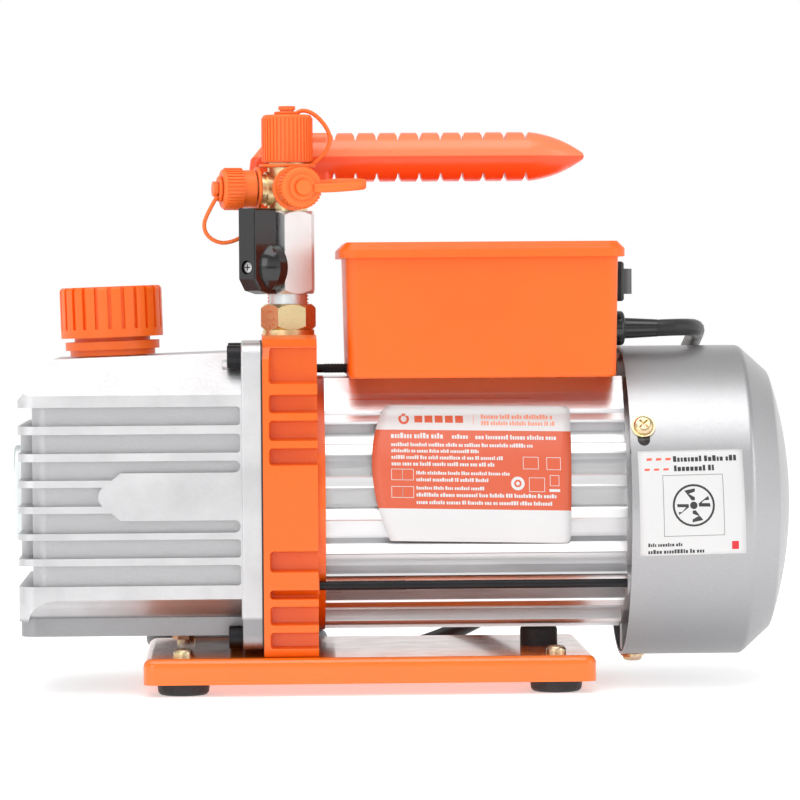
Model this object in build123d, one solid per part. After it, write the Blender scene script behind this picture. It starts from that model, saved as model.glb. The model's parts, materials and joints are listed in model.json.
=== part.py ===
from build123d import *
import os
from math import acos, asin, atan2, cos, degrees, hypot, pi, radians, sin, sqrt, tan

# Two-stage rotary vane vacuum pump, direct drive, with a carry handle.
# Millimetres. +X runs from the oil box to the fan, -Y is the front (label) side, +Z is up.
# The origin is on the ground under the middle of the pump, without its mains lead.

os.makedirs("parts", exist_ok=True)

# --- driving dimensions ---------------------------------------------------------------
AXIS_Z = 80.0              # height of the shaft
X_MIN = -170.0             # face of the sight glass bezel
X_MAX = 170.0              # crown of the fan cover

PLATE_X = (-113.0, 81.0)
PLATE_HALF_Y = 60.0
PLATE_TOP = 16.3
PLATE_LIP = 5.2            # lower edge of the tray's bent rim
PLATE_SHEET = 2.5
FOOT_X = (-96.0, 64.5)
FOOT_HALF_Y = 45.0
FOOT_R = 12.3
BUMPER_X = 60.0
BUMPER_R = 8.2

BRACKET_X = (-61.2, -37.8)
BRACKET_HALF_Y = 58.0
BRACKET_TOP = 154.0
SPIGOT_X = -34.5           # motor face of the bracket
SPIGOT_R = 56.0
POCKET_DEPTH = 6.0
RIB_HALF = 1.5
RIB_HEIGHTS = (130.5, 119.4, 107.6, 97.1, 63.5, 39.8, 28.7, 18.5)
TOP_POCKET_Z = (133.4, 149.5)
BULGE_Z = (66.9, 92.9)
BOSS_Z = (45.3, 52.9)

FLANGE_X = (-70.3, -62.0)  # flange of the oil box
FLANGE_HALF_Y = 56.5
FLANGE_Z = (19.6, 151.0)
BOX_END_X = -166.0
BOX_HALF_Y = 56.0
BOX_TOP = 146.9
BOX_TOP_SLOPE = 1.8        # degrees, down towards the sight glass
BOX_SHOULDER = 36.0        # half width of the flat top
BOX_BAND_Z = 41.6
BOX_LIP_Z = (24.7, 32.6)
BOX_LIP_Y = 37.0
BOX_FLOOR = 31.0
GROOVE_DEPTH = 4.2
GROOVES = ((47.5, 56.3), (59.4, 67.3), (70.1, 78.7), (81.7, 89.8),
           (92.8, 100.9), (104.3, 112.4), (116.0, 124.0))
PAD_Z = (75.4, 95.8)
PAD_X = -122.0
BOX_SCREW_Y = 45.0
BOX_SCREW_Z = (24.4, 145.0)

FILL_X = -126.5
FILL_TOP = 145.5           # height of the box top under the fill cap
FILL_CAP_R = 22.35
FILL_CAP_H = 22.1
FILL_GROOVES = 24
DRAIN_X = -96.5

STACK_X = -49.5            # inlet valve and manifold
STACK_Y = -14.0
VALVE_Z = (171.8, 207.9)
VALVE_AF = 22.0            # across flats
VALVE_TURN = 23.6          # degrees
STEM_Z = 183.4
LEVER_DIR = (-0.67, -0.742)
PORT_Z = 217.6
PORT_TURN = 12.0           # degrees, how far the side ports are turned about Z
CAP_RIBS = 40

HANDLE_Y = 14.0
GRIP_Z = 232.0
GRIP_HALF_Z = 10.85
GRIP_HALF_Y = 13.0
GRIP_X = (-45.0, 58.0)
GRIP_TIP_X = 82.5
NOTCHES = 10
NOTCH_PITCH = 9.4
NOTCH_FIRST_X = -28.5

TERMINAL_X = (-25.0, 92.5)
TERMINAL_HALF_Y = 47.0
TERMINAL_Z = (135.2, 187.1)
TERMINAL_WALL = 2.5
LID_TOP = 193.8
SWITCH_Y = -25.0
SWITCH_Z = 176.3
GLAND_Y = -12.0
GLAND_Z = 155.8

MOTOR_X = (-34.5, 95.0)
MOTOR_R = 55.0
MOTOR_GROOVE_R = 49.4
MOTOR_BORE_R = 47.0
PAD_TOP = 135.2            # flat on top of the motor for the terminal box
FIN_ANGLES = (-43.7, -27.3, -11.8, 3.1, 19.0, 34.5, 51.3, 72.7)
BOLT_R = 59.0              # radius at which the tie bolts sit
BOLT_ANGLES = (90.0, -34.6, -145.4)

COVER_X = (95.9, 148.2, 160.5, 170.0)
COVER_R = (68.0, 56.9)
COVER_SHEET = 1.2
COVER_SCREW_X = 101.5
COVER_SCREW_ANGLES = (150.0, 30.0, -90.0)

SHAFT_R = 6.0
ROTOR_R = 22.4             # pump rotor
BORE_R = 26.0              # pump stators
BORE_DROP = 3.5            # how far the bores sit below the shaft
STAGE_ONE = (-91.2, -61.2)
STAGE_TWO = (-111.2, -97.2)
END_PLATE = (-119.2, -111.2)
CARTRIDGE_R = 38.0
JOURNAL_R = 12.0
VANE_T = 4.0
VANE_TIP = 22.3
VANE_ROOT = 9.0
RUNNING = 0.05             # radial clearance of a running fit

CORD_D = 7.6
BOOT_END_X = 112.0
COIL_X = -73.5
COIL_Y = 114.0
COIL_R = (26.4, 42.0)
COIL_H = 3 * CORD_D
PLUG_AT = (-50.7, 88.5)


# --- small helpers --------------------------------------------------------------------
def save(name, shape):
    """Write one node's STEP file."""
    export_step(shape, f"parts/{name}.step")


def group(solids):
    """Several separate solids in one node."""
    return Compound(children=list(solids))


def block(x, y, z):
    """An upright box from three (low, high) pairs."""
    size = Box(x[1] - x[0], y[1] - y[0], z[1] - z[0])
    return Pos((x[0] + x[1]) / 2, (y[0] + y[1]) / 2, (z[0] + z[1]) / 2) * size


def rod_x(radius, x, y=0.0, z=AXIS_Z):
    """A cylinder along X between the two values of x."""
    return Pos((x[0] + x[1]) / 2, y, z) * Rot(0, 90, 0) * Cylinder(radius, x[1] - x[0])


def rod_z(radius, z, x=0.0, y=0.0):
    """A cylinder along Z between the two values of z."""
    return Pos(x, y, (z[0] + z[1]) / 2) * Cylinder(radius, z[1] - z[0])


def rod_y(radius, y, x=0.0, z=0.0):
    """A cylinder along Y between the two values of y."""
    return Pos(x, (y[0] + y[1]) / 2, z) * Rot(90, 0, 0) * Cylinder(radius, y[1] - y[0])


def tube_x(outer, inner, x, z=AXIS_Z):
    """A ring along X."""
    return rod_x(outer, x, 0, z) - rod_x(inner, (x[0] - 1, x[1] + 1), 0, z)


def prism_x(points, x):
    """A solid along X from (y, z) points."""
    face = make_face(Plane.YZ * Polyline(*points, close=True))
    return Pos(x[0], 0, 0) * extrude(face, x[1] - x[0], dir=(1, 0, 0))


def prism_y(points, y):
    """A solid along Y from (x, z) points."""
    face = make_face(Plane.XZ * Polyline(*points, close=True))
    return Pos(0, y[0], 0) * extrude(face, y[1] - y[0], dir=(0, 1, 0))


def turned(profile, axis=Axis.X):
    """A solid of revolution from (along, radius) points about the X or Z axis."""
    if axis == Axis.X:
        face = make_face(Plane.XZ * Polyline(*profile, close=True))
        return Pos(0, 0, AXIS_Z) * revolve(face, Axis.X)
    face = make_face(Plane.XZ * Polyline(*[(r, z) for z, r in profile], close=True))
    return revolve(face, Axis.Z)


def around(angle, radius):
    """(y, z) of a point at an angle from +Y about the shaft."""
    return radius * cos(radians(angle)), AXIS_Z + radius * sin(radians(angle))


def softened(shape, edges, radius):
    """Round the edges, or leave them sharp where the kernel can't."""
    try:
        rounded = fillet(edges, radius)
    except Exception:
        print("left sharp", radius)
        return shape
    return rounded if rounded.is_valid else shape


def pan_head(radius, height, length, shank):
    """A cross-head pan screw standing on Z=0 with its shank below."""
    head = Cylinder(radius, height, align=(Align.CENTER, Align.CENTER, Align.MIN))
    head = softened(head, head.edges().group_by(Axis.Z)[-1], height * 0.62)
    for turn in (45, 135):
        cut = Box(radius * 1.15, radius * 0.24, height * 0.9)
        head -= Pos(0, 0, height) * Rot(0, 0, turn) * cut
    return head + rod_z(shank, (-length, 0.01))


def socket_head(radius, height, length, shank, hexagon):
    """A cap screw standing on Z=0 with its shank below."""
    head = Cylinder(radius, height, align=(Align.CENTER, Align.CENTER, Align.MIN))
    head = softened(head, head.edges().group_by(Axis.Z)[-1], 0.6)
    socket = extrude(RegularPolygon(hexagon, 6), height * 0.55)
    head -= Pos(0, 0, height * 0.45 + 0.01) * socket
    return head + rod_z(shank, (-length, 0.01))


# --- base -----------------------------------------------------------------------------
def base_plate():
    """A pressed tray, open below, with rounded bends and holes for its fixings."""
    outer = block(PLATE_X, (-PLATE_HALF_Y, PLATE_HALF_Y), (PLATE_LIP, PLATE_TOP))
    outer = fillet(outer.edges().filter_by(Axis.Z), 5.0)
    outer = fillet(outer.edges().group_by(Axis.Z)[-1], 3.6)
    low = (PLATE_X[0] + PLATE_SHEET, PLATE_X[1] - PLATE_SHEET)
    wide = PLATE_HALF_Y - PLATE_SHEET
    inner = block(low, (-wide, wide), (PLATE_LIP - 1, PLATE_TOP - PLATE_SHEET))
    inner = fillet(inner.edges().filter_by(Axis.Z), 2.5)
    inner = fillet(inner.edges().group_by(Axis.Z)[-1], 1.1)
    tray = outer - inner
    for x in FOOT_X:
        for y in (-FOOT_HALF_Y, FOOT_HALF_Y):
            tray -= rod_z(2.2, (0, 20), x, y)
    for y in (-30.0, 30.0):
        tray -= rod_z(3.2, (0, 20), sum(BRACKET_X) / 2, y)
    return tray - rod_z(3.2, (0, 20), BUMPER_X, 0)


def rubber_foot(x, y):
    """A moulded foot, narrower at the ground, with a blind hole for its screw."""
    top = PLATE_TOP - PLATE_SHEET
    foot = Cone(FOOT_R - 1.5, FOOT_R, top, align=(Align.CENTER, Align.CENTER, Align.MIN))
    foot = fillet(foot.edges().group_by(Axis.Z)[0], 2.2)
    foot = chamfer(foot.edges().group_by(Axis.Z)[-1], 1.2)
    return Pos(x, y, 0) * (foot - rod_z(2.0, (5.0, top + 1)))


def feet_places():
    return [(x, y) for x in FOOT_X for y in (-FOOT_HALF_Y, FOOT_HALF_Y)]


def make_base():
    save("base_plate", base_plate())
    save("rubber_feet", group(rubber_foot(x, y) for x, y in feet_places()))
    screws = [Pos(x, y, PLATE_TOP) * pan_head(4.3, 3.4, 9.0, 2.0) for x, y in feet_places()]
    save("foot_screws", group(screws))
    bumper = rod_z(BUMPER_R, (PLATE_TOP, 25.0), BUMPER_X, 0)
    bumper = fillet(bumper.edges().group_by(Axis.Z)[-1], 2.0)
    neck = rod_z(3.1, (PLATE_TOP - PLATE_SHEET, PLATE_TOP + 0.1), BUMPER_X, 0)
    barb = rod_z(4.6, (PLATE_TOP - PLATE_SHEET - 2.5, PLATE_TOP - PLATE_SHEET), BUMPER_X, 0)
    save("motor_bumper", bumper + neck + barb)


# --- bracket between the motor and the pump ---------------------------------------------
def bracket_outline():
    """Half of the bracket's outline, from the top middle to the foot."""
    w = BRACKET_HALF_Y
    return [(0, BRACKET_TOP), (42, BRACKET_TOP), (49, 152.5), (54, 149.0), (w - 1, 144.0),
            (w, 139.0), (w, 22.0), (w - 3, PLATE_TOP), (0, PLATE_TOP)]


def mirrored(half):
    """A closed outline from its +Y half."""
    return half + [(-y, z) for y, z in reversed(half) if y > 0]


def side_pockets():
    """Cored pockets in the bracket's side faces, open towards the motor."""
    edges = sorted([z - RIB_HALF for z in RIB_HEIGHTS] + [z + RIB_HALF for z in RIB_HEIGHTS]
                   + list(BULGE_Z) + list(BOSS_Z))
    gaps = [(edges[i], edges[i + 1]) for i in range(1, len(edges) - 1, 2)]
    gaps = [(low, high) for low, high in gaps if high - low > 3.0] + [TOP_POCKET_Z]
    tools = []
    for low, high in gaps:
        x = (BRACKET_X[0] + 2.6, BRACKET_X[1] + 4.0)
        mouth = Rectangle(x[1] - x[0], high - low)
        mouth = fillet(mouth.vertices(), min(1.6, (high - low) / 3))
        tool = extrude(mouth, POCKET_DEPTH, taper=9)
        centre = ((x[0] + x[1]) / 2, (low + high) / 2)
        front = Pos(centre[0], -BRACKET_HALF_Y - 0.01, centre[1]) * Rot(-90, 0, 0) * tool
        back = Pos(centre[0], BRACKET_HALF_Y + 0.01, centre[1]) * Rot(90, 0, 0) * tool
        tools += [front, back]
    return tools


def bracket():
    body = prism_x(mirrored(bracket_outline()), BRACKET_X)
    body = softened(body, body.edges().filter_by(Axis.X), 1.6)
    for tool in side_pockets():
        body -= tool
    arch = prism_x(mirrored([(0, 30), (30, 30), (36, 24), (38, PLATE_TOP - 1),
                             (0, PLATE_TOP - 1)]), (BRACKET_X[0] + 6, BRACKET_X[1] + 1))
    body -= arch & block(BRACKET_X, (-18, 18), (0, 40))
    body += rod_x(SPIGOT_R, (BRACKET_X[1] - 0.5, SPIGOT_X))
    for angle in BOLT_ANGLES:
        y, z = around(angle, BOLT_R)
        body += rod_x(5.2, (BRACKET_X[0] + 4, BRACKET_X[1] + 0.4), y, z)
        body -= rod_x(2.05, (BRACKET_X[0] + 8, SPIGOT_X + 1), y, z)
    body += rod_z(11.6, (BRACKET_TOP - 6, BRACKET_TOP), STACK_X, STACK_Y)
    # journal bush, shaft seal seat, coupling room and bearing seat
    body -= rod_x(JOURNAL_R + RUNNING, (BRACKET_X[0] - 1, -56.9))
    body -= rod_x(17.0, (-57.0, -51.9))
    body -= rod_x(20.0, (-52.0, -44.1))
    body -= rod_x(16.0, (-44.2, SPIGOT_X + 1))
    # suction passage from the inlet down to the first stage
    body -= rod_z(8.0, (BRACKET_TOP - 12, BRACKET_TOP + 1), STACK_X, STACK_Y)
    body -= rod_z(4.0, (108, BRACKET_TOP), STACK_X, STACK_Y)
    body -= rod_x(4.0, (BRACKET_X[0] - 1, STACK_X), STACK_Y, 110)
    for y in (-BOX_SCREW_Y, BOX_SCREW_Y):
        for z in BOX_SCREW_Z:
            body -= rod_x(3.05, (BRACKET_X[0] - 1, BRACKET_X[0] + 17), y, z)
    for angle in (45, 135, 225, 315):
        body -= rod_x(2.55, (BRACKET_X[0] - 1, -50.0), *around(angle, 33.2))
    for y in (-30.0, 30.0):
        body -= rod_z(2.55, (0, PLATE_TOP + 15), sum(BRACKET_X) / 2, y)
    body -= rod_z(3.05, (BRACKET_TOP - 14, BRACKET_TOP + 1), STACK_X, HANDLE_Y)
    return body


def make_bracket():
    save("bracket", bracket())
    screw = socket_head(4.6, 4.0, 13.0, 2.5, 2.3)
    under = PLATE_TOP - PLATE_SHEET
    places = [Pos(sum(BRACKET_X) / 2, y, under) * Rot(180, 0, 0) for y in (-30.0, 30.0)]
    save("bracket_screws", group(place * screw for place in places))


# --- oil box ----------------------------------------------------------------------------
def box_outline(inset=0.0):
    """Half of the oil box's outline across X, drawn in by inset for the cavity."""
    w = BOX_HALF_Y - inset
    s = BOX_SHOULDER - inset * 0.4
    if inset:
        return [(0, BOX_TOP - 6.0), (s, BOX_TOP - 6.0), (w, 127.0), (w, 50.0),
                (32, 36.0), (30, BOX_FLOOR), (0, BOX_FLOOR)]
    return [(0, BOX_TOP), (s, BOX_TOP), (w, 129.0), (w, BOX_LIP_Z[1]),
            (BOX_LIP_Y, BOX_LIP_Z[1]), (BOX_LIP_Y, BOX_LIP_Z[0]), (0, BOX_LIP_Z[0])]


def box_end_cut(shift=0.0):
    """What the sloped top and the chamfered end take off, moved in by shift."""
    drop = (FLANGE_X[0] - BOX_END_X) * tan(radians(BOX_TOP_SLOPE))
    start = (FLANGE_X[0], BOX_TOP - shift)
    corner = (-151.0 + shift * 0.5, BOX_TOP - drop * 0.85 - shift)
    end = (BOX_END_X - 2 + shift, 124.6 - shift * 0.5)
    points = [start, corner, end, (BOX_END_X - 9, 124), (BOX_END_X - 9, 160), (FLANGE_X[0], 160)]
    return prism_y(points, (-70, 70))


def raised_pad():
    """The plain pad in the middle of the finned side, with a rounded nose."""
    low, high = PAD_Z
    mid = (low + high) / 2
    nose = rod_y(5.4, (-70, 70), PAD_X - 4.2, mid)
    points = [(FLANGE_X[1], low), (PAD_X, low), (PAD_X - 7.2, mid - 4.4),
              (PAD_X - 7.2, mid + 4.4), (PAD_X, high), (FLANGE_X[1], high)]
    return prism_y(points, (-70, 70)) + nose


def wrapped_groove(low, high):
    """A groove round the sides and the end of the box, narrower where it runs along the pad."""
    beside = (low, high)
    if low < PAD_Z[0] < high:
        beside = (low, PAD_Z[0])
    if low < PAD_Z[1] < high:
        beside = (PAD_Z[1], high)
    corner = 1.3 if beside == (low, high) else (beside[1] - beside[0]) / 2 - 0.05
    near_flange = block((PAD_X, FLANGE_X[0] - 0.6), (-75, 75), beside)
    near_flange = fillet(near_flange.edges().filter_by(Axis.Y).group_by(Axis.X)[-1], corner)
    outer = block((BOX_END_X - 20, PAD_X + 10), (-75, 75), (low, high)) + near_flange
    y = BOX_HALF_Y - GROOVE_DEPTH
    core = block((BOX_END_X + 6.0, FLANGE_X[0] + 20), (-y, y), (low - 1, high + 1))
    core = fillet(core.edges().filter_by(Axis.Z), 6.0)
    return outer - core


def undercut():
    """The hollow under the lower band, seen from the side as a long panel with a round end."""
    low, high = BOX_LIP_Z[1], BOX_BAND_Z
    start, stop = BOX_END_X + 4.4, FLANGE_X[0] - 0.3
    round_end = Pos(start + 13, low) * Ellipse(13, high - low)
    straight = Pos((start + 13 + stop) / 2, low) * Rectangle(stop - start - 13, 2 * (high - low))
    panel = extrude(Plane.XZ * (round_end + straight), 80, both=True)
    w = BOX_HALF_Y
    flank = [(w + 1, high), (w, high), (50, 38.0), (43, 34.2), (BOX_LIP_Y, low), (w + 1, low)]
    ends = (BOX_END_X, FLANGE_X[0])
    return panel & (prism_x(flank, ends) + prism_x([(-y, z) for y, z in flank], ends))


def oil_box():
    body = prism_x(mirrored(box_outline()), (BOX_END_X, FLANGE_X[1] - 1))
    upright = [e for e in body.edges().filter_by(Axis.Z) if e.center().X < BOX_END_X + 1]
    body = softened(body, upright, 7.0)
    body -= box_end_cut()
    pad = raised_pad()
    panel = block((BOX_END_X - 1, BOX_END_X + 8), (-24, 24), (57.0, 112.5))
    for low, high in GROOVES:
        body -= wrapped_groove(low, high) - pad - panel
    body -= undercut()
    flange = block(FLANGE_X, (-FLANGE_HALF_Y, FLANGE_HALF_Y), FLANGE_Z)
    flange = fillet(flange.edges().filter_by(Axis.X), 6.0)
    flange = softened(flange, flange.edges().group_by(Axis.X)[0], 0.8)
    body += flange
    cavity = prism_x(mirrored(box_outline(8.5)), (BOX_END_X + 11, FLANGE_X[1] + 1))
    body -= cavity - box_end_cut(6.5)
    # bores: fill neck, drain, sight glass, flange screws
    body -= Pos(FILL_X, 0, FILL_TOP) * Rot(0, -BOX_TOP_SLOPE, 0) * rod_z(15.0, (-20, 10))
    body += rod_z(8.0, (BOX_LIP_Z[0], BOX_FLOOR + 2), DRAIN_X, 0)
    body -= rod_z(4.0, (BOX_LIP_Z[0] - 2, BOX_FLOOR + 3), DRAIN_X, 0)
    window = Plane.YZ.offset(BOX_END_X - 1) * Pos(0, 85.5) * SlotOverall(34, 16, rotation=90)
    body -= extrude(window, 14)
    seat = Plane.YZ.offset(BOX_END_X - 1) * Pos(0, 85.5) * SlotOverall(40.1, 22.1, rotation=90)
    body -= extrude(seat, 4)
    for y in (-BOX_SCREW_Y, BOX_SCREW_Y):
        for z in BOX_SCREW_Z:
            body -= rod_x(3.1, (FLANGE_X[0] - 1, FLANGE_X[1] + 1), y, z)
            body -= rod_x(5.6, (FLANGE_X[0] - 8, FLANGE_X[0]), y, z)
    return body


def box_gasket():
    sheet = block((FLANGE_X[1], BRACKET_X[0]), (-FLANGE_HALF_Y, FLANGE_HALF_Y), FLANGE_Z)
    sheet = fillet(sheet.edges().filter_by(Axis.X), 6.0)
    sheet -= prism_x(mirrored(box_outline(8.5)), (FLANGE_X[1] - 1, BRACKET_X[0] + 1))
    for y in (-BOX_SCREW_Y, BOX_SCREW_Y):
        for z in BOX_SCREW_Z:
            sheet -= rod_x(3.1, (FLANGE_X[1] - 1, BRACKET_X[0] + 1), y, z)
    return sheet


def sight_glass():
    pane = Plane.YZ.offset(BOX_END_X) * Pos(0, 85.5) * SlotOverall(40, 22, rotation=90)
    return extrude(pane, 3.0)


def sight_bezel():
    rim = Plane.YZ.offset(X_MIN) * Pos(0, 85.5) * SlotOverall(41.6, 25.6, rotation=90)
    solid = extrude(rim, BOX_END_X - X_MIN)
    solid = softened(solid, solid.edges().group_by(Axis.X)[0], 1.4)
    hole = Plane.YZ.offset(X_MIN - 1) * Pos(0, 85.5) * SlotOverall(31, 13, rotation=90)
    return solid - extrude(hole, 8, taper=6)


def make_oil_box():
    save("oil_box", oil_box())
    save("box_gasket", box_gasket())
    screw = Rot(0, -90, 0) * socket_head(5.0, 6.0, 24.0, 3.0, 2.9)
    places = [(y, z) for y in (-BOX_SCREW_Y, BOX_SCREW_Y) for z in BOX_SCREW_Z]
    save("box_screws", group(Pos(FLANGE_X[0], y, z) * screw for y, z in places))
    save("sight_glass", sight_glass())
    save("sight_bezel", sight_bezel())


# --- oil fill, oil drain ------------------------------------------------------------------
def on_box_top(shape):
    """Stand a part that is drawn at the origin on the sloped top of the oil box."""
    return Pos(FILL_X, 0, FILL_TOP) * Rot(0, -BOX_TOP_SLOPE, 0) * shape


def fill_fitting():
    """The exhaust and fill neck: spigot, two rings and a threaded neck."""
    body = rod_z(14.9, (-9, 0.1)) + rod_z(18.6, (0, 2.6)) + rod_z(20.6, (2.6, 6.2))
    body += rod_z(16.6, (6.2, 20.0))
    body = softened(body, body.edges().group_by(Axis.Z)[-1], 0.8)
    return body - rod_z(12.0, (-12, 25))


def fill_cap():
    """A grooved screw cap with a deep closed top."""
    low = 8.0
    body = rod_z(FILL_CAP_R, (low, low + FILL_CAP_H))
    body = fillet(body.edges().group_by(Axis.Z)[-1], 1.8)
    for i in range(FILL_GROOVES):
        turn = 360.0 * i / FILL_GROOVES
        cut = block((FILL_CAP_R - 1.5, FILL_CAP_R + 2), (-0.85, 0.85), (low + 3.6, low + 30))
        body -= Rot(0, 0, turn) * cut
    body -= rod_z(16.6 + RUNNING, (low - 1, 21.4))
    return body


def make_fill_and_drain():
    save("fill_fitting", on_box_top(fill_fitting()))
    save("fill_cap", on_box_top(fill_cap()))
    seal = rod_z(16.2, (20.0, 21.4)) - rod_z(12.4, (19, 22))
    save("fill_seal", on_box_top(seal))
    head = extrude(RegularPolygon(4.9, 6), 3.2)
    plug = Pos(0, 0, -4.4) * head + rod_z(5.4, (-1.2, 0)) + rod_z(4.0 - RUNNING, (-0.1, 7.0))
    save("drain_plug", Pos(DRAIN_X, 0, BOX_LIP_Z[0]) * plug)


# --- pump cartridge -------------------------------------------------------------------------
BORE_Z = AXIS_Z - BORE_DROP


def stator(x):
    """A stator ring with its offset bore and an exhaust port on top."""
    ring = rod_x(CARTRIDGE_R, x) - rod_x(BORE_R, (x[0] - 1, x[1] + 1), 0, BORE_Z)
    ring -= rod_z(2.2, (95, 125), (x[0] + x[1]) / 2, 13)
    return ring - cartridge_holes(x)


def cartridge_holes(x, radius=2.6):
    """Four screw holes through a cartridge plate."""
    ends = (x[0] - 1, x[1] + 1)
    return Part() + [rod_x(radius, ends, *around(a, 33.2)) for a in (45, 135, 225, 315)]


def pump_rotor():
    """Rotor with two slotted drums on one set of journals and a drive tongue."""
    gap = 0.1
    body = rod_x(JOURNAL_R, (END_PLATE[0] + 1, -52.0))
    body += rod_x(ROTOR_R, (STAGE_ONE[0] + gap, STAGE_ONE[1] - gap))
    body += rod_x(ROTOR_R, (STAGE_TWO[0] + gap, STAGE_TWO[1] - gap))
    for x in (STAGE_ONE, STAGE_TWO):
        for side in (-1, 1):
            y = sorted((side * 3.0, side * 24.0))
            half = VANE_T / 2 + 0.03
            body -= block((x[0] + gap, x[1] - gap), y, (AXIS_Z - half, AXIS_Z + half))
    tongue = block((-52.1, -49.0), (-10, 10), (AXIS_Z - 3, AXIS_Z + 3))
    return body + (tongue & rod_x(JOURNAL_R, (-53, -48)))


def vane(x, side):
    """A carbon vane lying in its slot, pushed in."""
    y = sorted((side * VANE_ROOT, side * VANE_TIP))
    half = VANE_T / 2
    return block((x[0] + 0.25, x[1] - 0.25), y, (AXIS_Z - half, AXIS_Z + half))


def vane_spring(x, side):
    """A small spring drawn as a thin sleeve between the slot's floor and its vane."""
    y = sorted((side * 3.0, side * VANE_ROOT))
    return rod_y(1.7, y, x, AXIS_Z) - rod_y(1.1, (y[0] - 1, y[1] + 1), x, AXIS_Z)


def make_cartridge():
    save("stage_one_stator", stator(STAGE_ONE))
    save("stage_two_stator", stator(STAGE_TWO))
    middle = (STAGE_TWO[1], STAGE_ONE[0])
    plate = rod_x(CARTRIDGE_R, middle) - rod_x(JOURNAL_R + RUNNING, (middle[0] - 1, middle[1] + 1))
    save("centre_plate", plate - cartridge_holes(middle))
    plate = rod_x(CARTRIDGE_R, END_PLATE)
    plate -= rod_x(JOURNAL_R + RUNNING, (END_PLATE[0] - 1, END_PLATE[1] + 1))
    save("end_plate", plate - cartridge_holes(END_PLATE))
    save("pump_rotor", pump_rotor())
    for stage, x in (("one", STAGE_ONE), ("two", STAGE_TWO)):
        for letter, side in (("a", 1), ("b", -1)):
            save(f"stage_{stage}_vane_{letter}", vane(x, side))
    places = [-84.0, -68.5, -107.5, -101.0]
    save("vane_springs", group(vane_spring(x, side) for x in places for side in (-1, 1)))
    screw = Rot(0, -90, 0) * socket_head(4.2, 4.0, END_PLATE[1] * -1 - 44.0, 2.5, 2.3)
    places = [around(a, 33.2) for a in (45, 135, 225, 315)]
    save("cartridge_screws", group(Pos(END_PLATE[0], y, z) * screw for y, z in places))
    reeds = []
    for x in (STAGE_ONE, STAGE_TWO):
        mid = (x[0] + x[1]) / 2
        reed = block((mid - 4, mid + 4), (8, 18), (AXIS_Z + 35.8, AXIS_Z + 36.5))
        reed += rod_z(1.8, (AXIS_Z + 35.5, AXIS_Z + 39), mid, 9)
        reeds.append(reed - rod_x(CARTRIDGE_R, (-130, -60)))
    save("exhaust_reeds", group(reeds))
    disc = rod_x(15.0, (-51.9, -44.6)) - block((-53, -48.9), (-11, 11), (AXIS_Z - 3.04, AXIS_Z + 3.04))
    save("drive_coupling", disc - rod_x(SHAFT_R, (-48.6, -44)))
    save("shaft_seal", tube_x(17.0, JOURNAL_R + RUNNING, (-57.0, -52.0)))


# --- motor ------------------------------------------------------------------------------------
def motor_fin(angle):
    """A straight fin along the motor, a little wider at its root."""
    inner, outer = MOTOR_BORE_R + 1.4, MOTOR_R
    y, z = cos(radians(angle)), sin(radians(angle))
    across = (-z, y)
    corners = []
    for radius, half in ((inner, 3.2), (outer - 0.7, 2.6), (outer, 1.9)):
        corners.append((radius, half))
    loop = corners + [(r, -h) for r, h in reversed(corners)]
    points = [(r * y + h * across[0], AXIS_Z + r * z + h * across[1]) for r, h in loop]
    return prism_x(points, MOTOR_X)


def motor_housing():
    """Extruded aluminium tube with fins and a flat pad on top."""
    body = rod_x(MOTOR_GROOVE_R, MOTOR_X)
    for angle in FIN_ANGLES:
        body += motor_fin(180 + angle)
        body += motor_fin(-angle)
    pad = [(0, PAD_TOP), (28, PAD_TOP), (33.5, 128.6), (38.4, 121.4), (33, 110), (0, 110)]
    body += prism_x(mirrored(pad), MOTOR_X)
    body += block(MOTOR_X, (-8, 8), (AXIS_Z - MOTOR_R, AXIS_Z - 40))
    body -= rod_x(MOTOR_BORE_R, (MOTOR_X[0] - 1, MOTOR_X[1] + 1))
    return body


def stator_core():
    """Laminated stack with open slots round its bore."""
    ring = tube_x(MOTOR_BORE_R, 25.0, (-5, 65))
    for i in range(24):
        cut = block((-6, 66), (30.0, 38.0), (AXIS_Z - 1.8, AXIS_Z + 1.8))
        mouth = block((-6, 66), (24.0, 30.5), (AXIS_Z - 0.8, AXIS_Z + 0.8))
        turn = Pos(0, 0, AXIS_Z) * Rot(360.0 * i / 24, 0, 0) * Pos(0, 0, -AXIS_Z)
        ring -= turn * (cut + mouth)
    return ring


def end_winding(x):
    ring = tube_x(43.5, 28.5, x)
    return fillet(ring.edges(), 4.0)


def motor_rotor():
    """Cast cage rotor on the shaft, with short fan blades on each end ring."""
    body = rod_x(24.5, (-4, 64)) + rod_x(22.0, (-10, 70))
    for i in range(8):
        blade = block((-16, 76), (15.0, 21.0), (AXIS_Z - 1.2, AXIS_Z + 1.2))
        body += Pos(0, 0, AXIS_Z) * Rot(45.0 * i, 0, 0) * Pos(0, 0, -AXIS_Z) * blade
    return body - rod_x(SHAFT_R, (-30, 90))


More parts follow.
